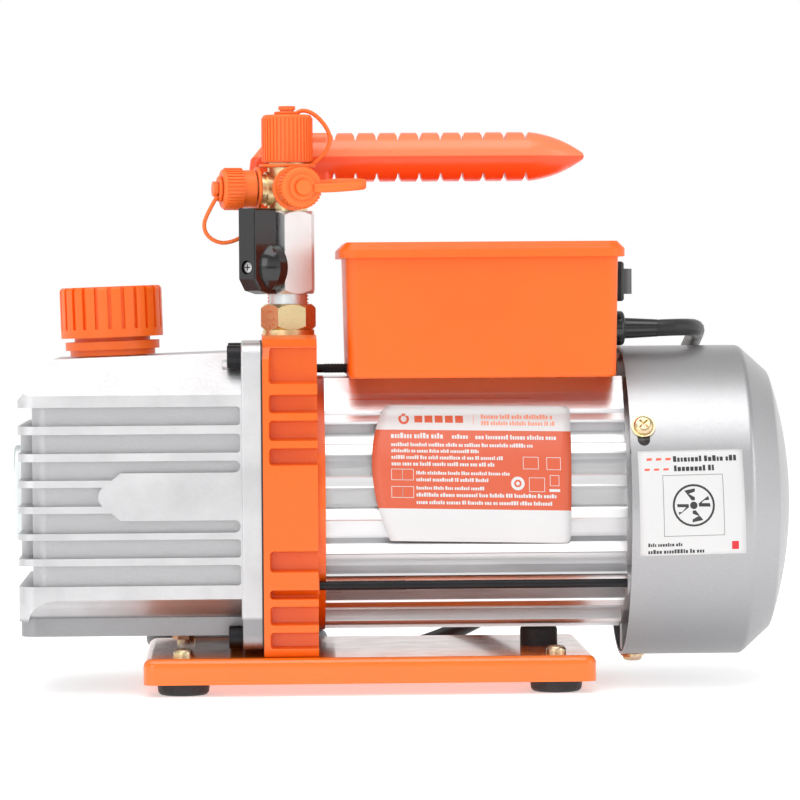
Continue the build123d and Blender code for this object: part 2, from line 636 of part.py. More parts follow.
def rear_endshield():
    """End casting with a bearing seat, three bolt lugs and three cover lugs."""
    plan = Circle(54.5)
    for angle in BOLT_ANGLES:
        lug = SlotCenterToCenter(12.0, 11.2) - Pos(6.0, 0) * Circle(2.1)
        plan += Rot(0, 0, angle) * Pos(BOLT_R - 6.0, 0) * lug
        plan -= Rot(0, 0, angle) * Pos(BOLT_R, 0) * Circle(2.1)
    for i in range(6):
        plan -= Rot(0, 0, 60 * i) * Pos(36.0, 0) * Circle(6.0)
    body = Pos(95, 0, AXIS_Z) * extrude(Plane.YZ * plan, dir=(1, 0, 0), amount=5)
    body += tube_x(MOTOR_BORE_R, 42.2, (90, 95.5)) + rod_x(22.0, (96, 108))
    for angle in COVER_SCREW_ANGLES:
        lug = Pos(COVER_SCREW_X, 58.0, 0) * Box(10, 16.6, 11) - rod_y(1.9, (51, 70), COVER_SCREW_X, 0)
        body += Pos(0, 0, AXIS_Z) * Rot(angle, 0, 0) * lug
    body -= rod_x(16.0, (97, 109))
    return body - rod_x(8.6, (94, 109))


def tie_bolt(angle):
    """A long bolt beside the motor, threaded at the bracket end."""
    y, z = around(angle, BOLT_R)
    bolt = rod_x(1.9, (BRACKET_X[0] + 9, 100.2), y, z)
    for i in range(24):
        x = SPIGOT_X + 1.0 + 1.4 * i
        bolt += rod_x(2.1, (x, x + 0.75), y, z)
    head = Plane.YZ.offset(100) * Pos(y, z) * RegularPolygon(4.0, 6)
    return bolt + extrude(head, 3.6)


def cooling_fan():
    """Moulded radial fan with nine straight blades."""
    body = rod_x(11.0, (116, 138)) + rod_x(40.0, (116, 118))
    for i in range(9):
        blade = block((116, 137), (9.0, 56.0), (AXIS_Z - 1.0, AXIS_Z + 1.0))
        body += Pos(0, 0, AXIS_Z) * Rot(40.0 * i, 0, 0) * Pos(0, 0, -AXIS_Z) * blade
    return body - rod_x(SHAFT_R, (110, 145))


def cover_wall(shrink):
    """Solid of the fan cover's outside, or of its inside when shrunk by the sheet."""
    x0, x1, x2, x3 = COVER_X
    r0, r1 = COVER_R
    r0, r1, x3 = r0 - shrink, r1 - shrink * 0.7, x3 - shrink
    x1, x2 = x1 - shrink * 0.45, x2 - shrink * 0.8
    start = x0 - (1.0 if shrink else 0.0)
    lines = Polyline((start, 0), (start, r0), (x1, r0), (x2, r1))
    lines += RadiusArc((x2, r1), (x3, 0), (r1 ** 2 + (x3 - x2) ** 2) / (2 * (x3 - x2)))
    lines += Line((x3, 0), (start, 0))
    face = make_face(Plane.XZ * lines)
    solid = Pos(0, 0, AXIS_Z) * revolve(face, Axis.X)
    ends = [e for e in solid.edges().filter_by(GeomType.CIRCLE) if e.center().X > x0 + 10]
    return softened(solid, ends, 3.4 - shrink)


def fan_cover():
    """Spun sheet cover with a slotted end and three screw holes."""
    body = cover_wall(0.0) - cover_wall(COVER_SHEET)
    for i in range(12):
        slot = Plane.YZ.offset(150) * Pos(17.0, 0) * SlotOverall(10.0, 3.4)
        body -= Pos(0, 0, AXIS_Z) * Rot(30.0 * i, 0, 0) * extrude(slot, 30)
    for angle in COVER_SCREW_ANGLES:
        hole = rod_y(2.2, (60, 72), COVER_SCREW_X, 0)
        body -= Pos(0, 0, AXIS_Z) * Rot(angle, 0, 0) * hole
    # the front hole is a slot, so that the cover can be turned a little
    slot = rod_y(2.65, (60, 72), COVER_SCREW_X, 6.2)
    slot += block((COVER_SCREW_X - 2.65, COVER_SCREW_X + 2.65), (60, 72), (0, 6.2))
    body -= Pos(0, 0, AXIS_Z) * Rot(COVER_SCREW_ANGLES[0], 0, 0) * slot
    return body


def make_motor():
    save("motor_housing", motor_housing())
    save("stator_core", stator_core())
    save("stator_windings", group([end_winding((-23, -5)), end_winding((65, 83))]))
    save("motor_shaft", rod_x(SHAFT_R, (-48.5, 138.0)))
    save("rotor_core", motor_rotor())
    seats = ((-44.2, -34.5), (97.3, 107.0))
    save("bearing_outer_races", group(tube_x(16.0, 12.6, x) for x in seats))
    save("bearing_inner_races", group(tube_x(8.4, SHAFT_R, x) for x in seats))
    save("rear_endshield", rear_endshield())
    save("tie_bolts", group(tie_bolt(angle) for angle in BOLT_ANGLES))
    save("cooling_fan", cooling_fan())
    save("fan_cover", fan_cover())
    screw = pan_head(4.3, 3.0, 10.0, 1.85) + (rod_z(5.2, (0.0, 0.8)) - rod_z(1.0, (-1, 0)))
    places = []
    for angle in COVER_SCREW_ANGLES:
        place = Pos(COVER_SCREW_X, 0, AXIS_Z) * Rot(angle, 0, 0) * Pos(0, COVER_R[0], 0)
        places.append(place * Rot(-90, 0, 0) * screw)
    save("cover_screws", group(places))


# --- terminal box ---------------------------------------------------------------------------------
def tapered_box(grow, z):
    """A drafted box: the terminal box's outside, or its inside when grow is negative."""
    wide = TERMINAL_X[1] - TERMINAL_X[0] + 2 * grow
    deep = 2 * (TERMINAL_HALF_Y + grow)
    top = RectangleRounded(wide, deep, 5.0 + grow)
    mid = sum(TERMINAL_X) / 2
    shape = Pos(mid, 0, z[1]) * extrude(top, z[0] - z[1], taper=1.2)
    return shape


def terminal_box():
    body = tapered_box(0.0, TERMINAL_Z)
    body = softened(body, body.edges().group_by(Axis.Z)[0], 1.6)
    floor = 143.6
    body -= tapered_box(-TERMINAL_WALL, (floor + 2.5, TERMINAL_Z[1] + 1))
    mid = sum(TERMINAL_X) / 2
    half = (TERMINAL_X[1] - TERMINAL_X[0]) / 2 - TERMINAL_WALL - 1.4
    under = TERMINAL_HALF_Y - TERMINAL_WALL - 1.4
    body -= block((mid - half, mid + half), (-under, under), (TERMINAL_Z[0] - 1, floor))
    body -= block((-40, 110), (-5.0, 5.0), (TERMINAL_Z[0] - 1, floor))
    for x in (5.0, 60.0):
        for y in (-18.0, 18.0):
            body += rod_z(5.0, (TERMINAL_Z[0], floor + 1), x, y)
            body -= rod_z(2.2, (TERMINAL_Z[0] - 1, floor + 4), x, y)
    body -= block((86, 99), (SWITCH_Y - 10.4, SWITCH_Y + 10.4), (SWITCH_Z - 8.1, SWITCH_Z + 8.1))
    return body - rod_x(5.6, (84, 99), GLAND_Y, GLAND_Z)


def terminal_lid():
    """Overhanging lid with a bevelled top and a locating rim below."""
    mid = sum(TERMINAL_X) / 2
    plate = RectangleRounded(123.1, 100.0, 7.5)
    low = TERMINAL_Z[1]
    body = Pos(mid, 0, low) * extrude(plate, LID_TOP - low)
    body = chamfer(body.edges().group_by(Axis.Z)[-1], 3.2)
    rim = tapered_box(-TERMINAL_WALL - 0.2, (low - 2.2, low + 0.1))
    body += rim - tapered_box(-TERMINAL_WALL - 2.0, (low - 3.0, low + 1.5))
    return body - Pos(mid, 0, low - 0.1) * extrude(RectangleRounded(108, 84, 4), 4.4)


def switch_bezel():
    """Rocker switch body with its frame outside the box wall."""
    low, high = SWITCH_Z - 8.0, SWITCH_Z + 8.0
    body = block((72, 92.6), (SWITCH_Y - 10.3, SWITCH_Y + 10.3), (low, high))
    frame = block((92.5, 95.6), (SWITCH_Y - 11.6, SWITCH_Y + 11.6), (SWITCH_Z - 8.6, SWITCH_Z + 8.6))
    frame = softened(frame, frame.edges().group_by(Axis.X)[-1], 1.5)
    body += frame
    for z in (-3.5, 0.0, 3.5):
        body += block((64, 72.1), (SWITCH_Y - 3.2, SWITCH_Y + 3.2), (SWITCH_Z + z - 0.4, SWITCH_Z + z + 0.4))
    body -= block((77, 99), (SWITCH_Y - 9.6, SWITCH_Y + 9.6), (SWITCH_Z - 5.7, SWITCH_Z + 5.7))
    return body - rod_z(1.55, (SWITCH_Z - 7.4, SWITCH_Z + 7.4), 88.4, SWITCH_Y)


def switch_rocker():
    """Rocker on its pin, tipped to the off side."""
    half = [(-4, 5), (2, 7.4), (10.6, 7.2), (8.4, 3.0)]
    loop = half + [(8.0, 0)] + [(x, -y) for x, y in reversed(half)]
    face = make_face(Polyline(*loop, close=True))
    body = Pos(0, 0, -5.5) * extrude(face, 11.0)
    body += rod_z(1.5, (-7.2, 7.2))
    return Pos(88.4, SWITCH_Y, SWITCH_Z) * Rot(0, 0, -12) * body


def cable_gland():
    """Strain relief bushing with a short tapered boot for the lead."""
    wall = 92.05
    body = rod_x(5.5, (wall - 9, wall + 0.1), GLAND_Y, GLAND_Z)
    flange = rod_x(7.6, (wall, 97.6), GLAND_Y, GLAND_Z)
    body += fillet(flange.edges().group_by(Axis.X)[-1], 1.8)
    boot = Plane.YZ * Circle(4.6)
    boot = Pos(97.5, GLAND_Y, GLAND_Z) * extrude(boot, BOOT_END_X - 97.5, taper=3.0)
    body += boot
    return body


def make_terminal_box():
    save("terminal_box", terminal_box())
    save("terminal_lid", terminal_lid())
    can = rod_x(17.0, (-12, 52), 18, 166.0)
    can = fillet(can.edges(), 2.0)
    for y in (11.0, 25.0):
        can += block((51.5, 60), (y - 3.1, y + 3.1), (165.6, 166.4))
    save("capacitor", can)
    save("switch_bezel", switch_bezel())
    save("switch_rocker", switch_rocker())
    save("cable_gland", cable_gland())


# --- inlet stack --------------------------------------------------------------------------------------
def on_stack(shape, turn=0.0):
    """Put a part that is drawn on the Z axis at the inlet, turned about its own axis."""
    return Pos(STACK_X, STACK_Y, 0) * Rot(0, 0, turn) * shape


def hexagon_bar(flats, z, edge=1.0):
    """A hexagonal bar with its corners turned off at both ends."""
    bar = Pos(0, 0, z[0]) * extrude(RegularPolygon(flats / sqrt(3), 6), z[1] - z[0])
    corner = flats / sqrt(3)
    drop = 1.9 * edge
    cone = turned([(z[0], 0), (z[0], corner - 1.9), (z[0] + drop, corner + 0.1),
                   (z[1] - drop, corner + 0.1), (z[1], corner - 1.9), (z[1], 0)], Axis.Z)
    return bar & cone


def threaded(radius, z, pitch):
    """A round stretch with ring-shaped thread crests."""
    body = rod_z(radius - 0.55, z)
    count = int((z[1] - z[0]) / pitch)
    for i in range(count):
        low = z[0] + pitch * i + pitch * 0.2
        body += rod_z(radius, (low, low + pitch * 0.45))
    return body


def port(direction_turn, radius, reach):
    """A threaded side port from the manifold's middle, outwards."""
    stub = rod_z(radius + 0.9, (5, 12.4)) + threaded(radius, (12, reach), 1.6)
    stub -= rod_z(radius - 3.0, (0, reach + 1))
    outward = Rot(0, 0, direction_turn) * Rot(0, 90, 0)
    return Pos(STACK_X, STACK_Y, PORT_Z) * outward * stub


def manifold():
    """Brass tee with three flare ports."""
    body = rod_z(8.6, (VALVE_Z[1], PORT_Z + 9.4)) + rod_z(7.9, (PORT_Z + 9, 229.0))
    body += threaded(7.9, (229.0, 243.0), 1.8)
    body = on_stack(body)
    for turn in (PORT_TURN - 90, PORT_TURN + 180):
        body += Pos(STACK_X, STACK_Y, PORT_Z) * Rot(0, 0, turn) * Rot(0, 90, 0) * rod_z(7.4, (0, 10))
        body += port(turn, 5.6, 24.5)
    body -= on_stack(rod_z(4.4, (VALVE_Z[1] - 1, 244)))
    return body


def ribbed_cap(radius, length, bore, depth, ribs, knob, skirt):
    """A moulded cap standing on Z=0: a plain skirt, fine ribs above it and a knob on top."""
    body = rod_z(radius - 0.45, (skirt, length))
    body = softened(body, body.edges().group_by(Axis.Z)[-1], 1.2)
    body += rod_z(radius - 1.0, (0, skirt + 0.1))
    for i in range(ribs):
        rib = block((radius - 1.4, radius), (-0.45, 0.45), (skirt + 0.3, length - 1.4))
        body += Rot(0, 0, 360.0 * i / ribs) * rib
    body += rod_z(knob, (length - 0.1, length + 2.6)) + rod_z(knob + 0.7, (length + 2.2, length + 3.8))
    return body - rod_z(bore, (-1, depth))


def valve_body():
    body = hexagon_bar(VALVE_AF, VALVE_Z)
    body = on_stack(body, VALVE_TURN)
    boss = Pos(STACK_X, STACK_Y, STEM_Z) * stem_frame() * rod_z(7.6, (8, 12.0))
    body += boss
    body -= on_stack(rod_z(5.0, (VALVE_Z[0] - 1, VALVE_Z[1] + 1)))
    body -= Pos(STACK_X, STACK_Y, STEM_Z) * Sphere(7.6)
    return body - Pos(STACK_X, STACK_Y, STEM_Z) * stem_frame() * rod_z(3.0 + RUNNING, (0, 14))


def stem_frame():
    """Turn +Z to the valve stem's outward direction, keeping +X as close to up as can be."""
    heading = degrees(atan2(LEVER_DIR[1], LEVER_DIR[0]))
    return Rot(0, 0, heading) * Rot(0, 90, 0)


def valve_stem():
    """Ball with its port open, and the stem that turns it."""
    ball = Sphere(7.5) - Rot(0, -90, 0) * Cylinder(4.5, 30)
    body = ball + rod_z(3.0, (6.4, 15.5))
    body = Pos(STACK_X, STACK_Y, STEM_Z) * stem_frame() * body
    return body


def valve_lever():
    """Moulded lever: a domed hub and a square arm that points up at rest."""
    up = 25.6
    down = 11.6
    side = [(-up, 12.6), (-up, 27.0), (down - 6.5, 27.0), (down - 1.5, 23.5), (down, 17.0), (down, 12.6)]
    arm = prism_y(side, (-4.85, 4.85))
    arm = softened(arm, arm.edges().group_by(Axis.Y)[0] + arm.edges().group_by(Axis.Y)[-1], 0.9)
    dome = (Pos(0, 0, 11.1) * Sphere(12.6)) & rod_z(11.0, (12.4, 30.0))
    body = arm + dome
    body -= rod_z(3.0, (12, 15.55)) + rod_z(1.6, (15, 28)) + rod_z(3.0, (24.5, 28))
    return Pos(STACK_X, STACK_Y, STEM_Z) * stem_frame() * body


def stacked_arc_band(points, radii, normal_width, thickness, plane):
    """A flat strap: a planar path of runs and arcs with a rectangular section."""
    path = plane * FilletPolyline(*points, radius=radii)
    start = path @ 0
    tangent = path % 0
    across = plane.z_dir
    section = Plane(origin=start, z_dir=tangent, x_dir=across) * Rectangle(normal_width, thickness)
    return sweep(section, path=path)


def cap_straps():
    """The three straps that tie the caps to their ports, each with a neck ring."""
    straps = []
    # top: up over the right side of the cap
    ring = rod_z(12.4, (226.9, 228.3)) - rod_z(8.9, (226, 229))
    side = Plane(origin=(STACK_X, STACK_Y, 0), x_dir=(1, 0, 0), z_dir=(0, -1, 0))
    band = stacked_arc_band([(11.6, 227.6), (16.5, 230.5), (20.6, 238.8), (15.5, 249.8), (6.6, 254.0)],
                            [4.0, 7.0, 8.0], 3.8, 1.3, side)
    straps.append(on_stack(ring) + band)
    # front and left ports
    for turn, loop in ((PORT_TURN - 90, "front"), (PORT_TURN + 180, "left")):
        face = Pos(STACK_X, STACK_Y, PORT_Z) * Rot(0, 0, turn) * Rot(0, 90, 0)
        ring = face * (rod_z(9.6, (12.9, 14.3)) - rod_z(6.6, (12, 15)))
        if loop == "front":
            flat = Plane(origin=(STACK_X, STACK_Y, PORT_Z + 0.8), x_dir=(1, 0, 0), z_dir=(0, 0, 1))
            points = [(11.6, -11.6), (18, -14.5), (32.6, -21.5), (31.5, -33.5), (11.9, -31.6)]
            band = stacked_arc_band(points, [6.0, 4.0, 4.0], 4.2, 1.3, flat)
        else:
            heading = radians(turn)
            flat = Plane(origin=(STACK_X, STACK_Y, PORT_Z), x_dir=(cos(heading), sin(heading), 0),
                         z_dir=(sin(heading), -cos(heading), 0))
            points = [(13.6, -9.0), (15.5, -18.0), (25.5, -26.2), (37.6, -19.5), (34.6, -4.0)]
            band = stacked_arc_band(points, [7.0, 8.0, 9.0], 3.8, 1.3, flat)
        straps.append(ring + band)
    return straps


def make_inlet():
    nut = on_stack(hexagon_bar(21.0, (156.0, 167.4)), 8.0)
    nut += on_stack(rod_z(11.3, (BRACKET_TOP, 156.2)))
    nut += on_stack(rod_z(7.9, (BRACKET_TOP - 11.5, BRACKET_TOP)))
    nut += on_stack(threaded(8.85, (167.3, VALVE_Z[0]), 1.5))
    nut -= on_stack(rod_z(4.6, (140, 175)))
    save("inlet_fitting", nut)
    save("valve_body", valve_body())
    save("valve_stem", valve_stem())
    save("valve_lever", valve_lever())
    save("inlet_manifold", manifold())
    top = ribbed_cap(11.2, 20.8, 7.9 + RUNNING, 15.0, CAP_RIBS, 3.0, 0.4)
    save("top_cap", on_stack(Pos(0, 0, 229.0) * top))
    side = ribbed_cap(9.2, 14.4, 5.6 + RUNNING, 11.0, 36, 2.6, 5.4)
    for turn, name in ((PORT_TURN - 90, "front_cap"), (PORT_TURN + 180, "left_cap")):
        face = Pos(STACK_X, STACK_Y, PORT_Z) * Rot(0, 0, turn) * Rot(0, 90, 0)
        save(name, face * Pos(0, 0, 15.0) * side)
    save("cap_straps", group(cap_straps()))


# --- handle --------------------------------------------------------------------------------------------
def handle():
    """Moulded carry handle: post on the bracket, heel, notched grip and pointed tip."""
    straight = Pos(sum(GRIP_X) / 2, 0, 0) * Rot(0, 90, 0) * extrude(
        Ellipse(GRIP_HALF_Z, GRIP_HALF_Y), (GRIP_X[1] - GRIP_X[0]) / 2, both=True)
    tip_lines = Line((GRIP_X[1], 0), (GRIP_X[1], GRIP_HALF_Z))
    tip_lines += ThreePointArc((GRIP_X[1], GRIP_HALF_Z), (72.0, 7.1), (GRIP_TIP_X - 0.6, 1.4))
    tip_lines += Line((GRIP_TIP_X - 0.6, 1.4), (GRIP_TIP_X, 0))
    tip_lines += Line((GRIP_TIP_X, 0), (GRIP_X[1], 0))
    tip = revolve(make_face(Plane.XZ * tip_lines), Axis.X)
    tip = scale(tip, by=(1, GRIP_HALF_Y / GRIP_HALF_Z, 1))
    grip = straight + tip
    for i in range(NOTCHES):
        x = NOTCH_FIRST_X + NOTCH_PITCH * i
        for side in (-1, 1):
            half = [(1.7, GRIP_HALF_Z + 0.4), (0.65, GRIP_HALF_Z - 1.7), (0.4, GRIP_HALF_Z - 3.5)]
            notch = half + [(-w, z) for w, z in reversed(half)]
            grip -= prism_y([(x + w, side * z) for w, z in notch], (-20, 20))
    grip = Pos(0, HANDLE_Y, GRIP_Z) * grip
    outline = [(-58.3, BRACKET_TOP), (-41.7, BRACKET_TOP), (-41.7, 176), (-43.4, 200), (-40, 215),
               (-30, 221.3), (-30, 242.7), (-47, 242.7), (-58, 240), (-65.5, 231), (-66.8, 221),
               (-63, 208), (-58.3, 192)]
    post = prism_y(outline, (HANDLE_Y - 10.5, HANDLE_Y + 10.5))
    post = softened(post, post.edges().group_by(Axis.Y)[0] + post.edges().group_by(Axis.Y)[-1], 3.0)
    body = grip + post
    return body - rod_z(3.0, (BRACKET_TOP - 1, BRACKET_TOP + 22), STACK_X, HANDLE_Y)


# --- mains lead -------------------------------------------------------------------------------------------
LEAD = [(BOOT_END_X, GLAND_Y, GLAND_Z), (118.0, -11.7, 156.0), (124.8, -8.3, 156.1),
        (129.3, -2.2, 155.8), (131.3, 5.5, 155.0), (131.6, 17.5, 152.4), (130.6, 32.0, 147.0),
        (128.8, 47.0, 139.4), (125.6, 61.5, 128.0), (120.0, 75.0, 110.5), (110.5, 85.0, 88.0),
        (95.5, 90.0, 64.5), (74.5, 91.5, 43.5), (50.0, 90.5, 27.0), (24.5, 87.5, 14.0),
        (-2.5, 82.8, 6.2), (-29.5, 78.2, 3.8), (-56.5, 75.8, 3.8)]


def lead_radii(points):
    """The largest arc at each corner that its two runs leave room for."""
    radii = []
    for before, here, after in zip(points, points[1:], points[2:]):
        a = Vector(*here) - Vector(*before)
        b = Vector(*after) - Vector(*here)
        turn = a.get_angle(b)
        radii.append(0.45 * min(a.length, b.length) / tan(radians(turn / 2)))
        print(f"run {a.length:6.1f}  turn {turn:5.1f}  radius {radii[-1]:6.1f}")
    return radii


def lead_tube():
    path = FilletPolyline(*LEAD, radius=lead_radii(LEAD))
    section = Plane(origin=path @ 0, z_dir=path % 0) * Circle(CORD_D / 2)
    tube = sweep(section, path=path)
    expected = pi * (CORD_D / 2) ** 2 * path.length
    print(f"lead {path.length:.1f} mm, volume {tube.volume:.0f} of {expected:.0f}")
    return tube


def lead_coil():
    """The outer shape of the wound-up rest of the lead."""
    ring = rod_z(COIL_R[1], (0, COIL_H), COIL_X, COIL_Y)
    ring -= rod_z(COIL_R[0], (-1, COIL_H + 1), COIL_X, COIL_Y)
    return softened(ring, ring.edges(), 2.4)


def mains_plug():
    """A moulded three-pin plug lying on the coil with its pins up."""
    low = COIL_H
    x0, y0 = PLUG_AT
    body = block((x0 - 22.5, x0 + 22.5), (y0 - 22, y0 + 22), (low, low + 17))
    body = fillet(body.edges().filter_by(Axis.Z), 9.0)
    body = fillet(body.edges().group_by(Axis.Z)[-1], 2.0)
    body = fillet(body.edges().group_by(Axis.Z)[0], 3.0)
    neck = rod_y(5.6, (y0 + 21, y0 + 33), x0, low + 8.5)
    body += fillet(neck.edges().group_by(Axis.Y)[-1], 1.5)
    for x, y, wide, deep, tall in ((0, -12, 4.0, 8.0, 22.5), (-11, 10, 6.4, 4.0, 17.8), (11, 10, 6.4, 4.0, 17.8)):
        pin = block((x0 + x - wide / 2, x0 + x + wide / 2),
                    (y0 + y - deep / 2, y0 + y + deep / 2), (low + 16, low + 17 + tall))
        body += chamfer(pin.edges().group_by(Axis.Z)[-1], 0.8)
    return body


def make_lead():
    save("cord_tube", lead_tube())
    save("cord_coil", lead_coil())
    save("mains_plug", mains_plug())


make_base()
make_bracket()
make_oil_box()
make_fill_and_drain()
make_cartridge()
make_motor()
make_terminal_box()
make_inlet()
save("handle", handle())
make_lead()
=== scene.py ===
"""Looks of a two-stage rotary vane vacuum pump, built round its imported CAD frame.

Lengths are in millimetres in the frame's own axes, and MM turns them into metres.
"""

import json
import math
import random

import bmesh
import bpy
from mathutils import Matrix, Vector


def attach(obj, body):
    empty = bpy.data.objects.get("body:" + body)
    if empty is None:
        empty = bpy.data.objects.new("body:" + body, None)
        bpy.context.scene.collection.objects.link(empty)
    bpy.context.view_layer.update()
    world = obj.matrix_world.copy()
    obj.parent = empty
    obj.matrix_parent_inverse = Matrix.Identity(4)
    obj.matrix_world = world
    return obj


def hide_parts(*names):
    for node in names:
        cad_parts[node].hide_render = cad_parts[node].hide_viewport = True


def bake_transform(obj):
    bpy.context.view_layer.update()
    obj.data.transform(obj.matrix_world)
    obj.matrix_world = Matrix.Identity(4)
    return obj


MM = 0.001
AXIS_Z = 80.0                       # height of the shaft
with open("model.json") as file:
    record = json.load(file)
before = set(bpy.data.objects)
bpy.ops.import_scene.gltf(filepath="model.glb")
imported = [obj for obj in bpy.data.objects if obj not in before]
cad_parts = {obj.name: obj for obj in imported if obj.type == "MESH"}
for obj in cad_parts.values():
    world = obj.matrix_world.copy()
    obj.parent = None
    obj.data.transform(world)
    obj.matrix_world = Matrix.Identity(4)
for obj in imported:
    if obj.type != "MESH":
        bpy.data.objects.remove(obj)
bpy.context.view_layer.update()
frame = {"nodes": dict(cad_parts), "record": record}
nodes = frame["nodes"]
dice = random.Random(7)             # draws the widths and heights of the small print


# --- camera ---------------------------------------------------------------------------------
CAMERA_AT = (-66.5, -1900.0, 173.2)
# aimed 150 to the right and 110 down over a distance of 4318, and leaning by 0.4 degrees
CAMERA_YAW = math.atan(150 / 4318)
CAMERA_PITCH = math.atan(110 / 4318)
CAMERA_ROLL = math.radians(0.4)
CAMERA_LENS, CAMERA_SENSOR = 194.3, 36.0
CAMERA_RANGE = (0.05, 200.0)        # in metres


def make_camera():
    yaw, pitch = CAMERA_YAW, CAMERA_PITCH
    ahead = Vector((math.sin(yaw) * math.cos(pitch), math.cos(yaw) * math.cos(pitch),
                    -math.sin(pitch)))
    level = Vector((math.cos(yaw), -math.sin(yaw), 0.0))
    over = level.cross(ahead)
    c, s = math.cos(CAMERA_ROLL), math.sin(CAMERA_ROLL)
    right, up = level * c - over * s, level * s + over * c
    data = bpy.data.cameras.new("camera")
    data.lens, data.sensor_width = CAMERA_LENS, CAMERA_SENSOR
    data.clip_start, data.clip_end = CAMERA_RANGE
    camera = bpy.data.objects.new("camera", data)
    bpy.context.scene.collection.objects.link(camera)
    columns = Matrix((right, up, -ahead)).transposed().to_4x4()
    camera.matrix_world = Matrix.Translation(Vector(CAMERA_AT) * MM) @ columns
    bpy.context.scene.camera = camera


make_camera()


# --- mains lead -----------------------------------------------------------------------------
CORD_D = 7.6
# from the gland over the fan cover, down behind the motor and to the near side of the coil
LEAD = [(112.0, -12.0, 155.8), (118.0, -11.7, 156.0), (124.8, -8.3, 156.1),
        (129.3, -2.2, 155.8), (131.3, 5.5, 155.0), (131.6, 17.5, 152.4), (130.6, 32.0, 147.0),
        (128.8, 47.0, 139.4), (125.6, 61.5, 128.0), (120.0, 75.0, 110.5), (110.5, 85.0, 88.0),
        (95.5, 90.0, 64.5), (74.5, 91.5, 43.5), (50.0, 90.5, 27.0), (24.5, 87.5, 14.0),
        (-2.5, 82.8, 6.2), (-29.5, 78.2, 3.8), (-56.5, 75.8, 3.8)]
COIL_AT = (-73.5, 114.0)
OUTER, INNER = 38.4, 30.2           # radii of the two rings of turns
LAYERS = (3.8, 11.4, 19.0)          # heights of the three layers of turns
TURN_POINTS = 16
# where a stretch of the coil ends (degrees clockwise from the near side), its radius and its
# height there; between two rows both change evenly
COIL_ROWS = [(16, OUTER, LAYERS[0]), (262, OUTER, LAYERS[0]), (350, INNER, LAYERS[0]),
             (600, INNER, LAYERS[0]), (662, INNER, LAYERS[1]),
             (885, INNER, LAYERS[1]), (970, OUTER, LAYERS[1]),
             (1200, OUTER, LAYERS[1]), (1255, OUTER, LAYERS[2]), (1440, OUTER, LAYERS[2])]
# off the coil, round its far side and into the plug that lies on it
LEAD_END = [(-88.5, 77.8, 20.6), (-101.2, 86.3, 23.0), (-109.7, 99.0, 25.4), (-112.5, 111.0, 27.4),
            (-112.6, 121.5, 28.6), (-110.2, 133.4, 29.6), (-103.5, 143.4, 30.4),
            (-93.5, 150.1, 31.0), (-81.6, 152.5, 31.3), (-69.7, 150.1, 31.3),
            (-59.7, 143.4, 31.3), (-53.0, 133.4, 31.3), (-50.7, 121.5, 31.3), (-50.7, 112.0, 31.3)]


def coil_points():
    """Control points of the put-away turns, on a slightly wider circle than the turns."""
    widen = 1.0 / (0.75 + 0.25 * math.cos(2 * math.pi / TURN_POINTS))
    start, end = COIL_ROWS[0][0], COIL_ROWS[-1][0]
    steps = int((end - start) / (360 / TURN_POINTS))
    points = []
    for i in range(steps + 1):
        turn = start + i * (end - start) / steps
        for (a0, r0, z0), (a1, r1, z1) in zip(COIL_ROWS, COIL_ROWS[1:]):
            if a0 <= turn <= a1:
                share = (turn - a0) / (a1 - a0)
                share = share * share * (3 - 2 * share)
                radius, height = r0 + (r1 - r0) * share, z0 + (z1 - z0) * share
        angle = math.radians(-90 - turn)
        points.append((COIL_AT[0] + radius * widen * math.cos(angle),
                       COIL_AT[1] + radius * widen * math.sin(angle), height))
    return points


def make_cord():
    """The mains lead as one smooth tube, from the gland to the plug."""
    points = LEAD + coil_points() + LEAD_END
    data = bpy.data.curves.new("mains_cord", "CURVE")
    data.dimensions = "3D"
    data.bevel_depth = 1.0
    data.bevel_resolution = 5
    data.resolution_u = 8
    data.use_fill_caps = True
    spline = data.splines.new("NURBS")
    spline.points.add(len(points) - 1)
    for point, at in zip(spline.points, points):
        point.co = (at[0] * MM, at[1] * MM, at[2] * MM, 1.0)
        point.radius = CORD_D / 2 * MM
    spline.order_u = 3
    spline.use_endpoint_u = True
    cord = bpy.data.objects.new("mains_cord", data)
    bpy.context.scene.collection.objects.link(cord)
    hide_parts("cord_tube", "cord_coil")
    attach(cord, "frame")
    return cord


cord = make_cord()


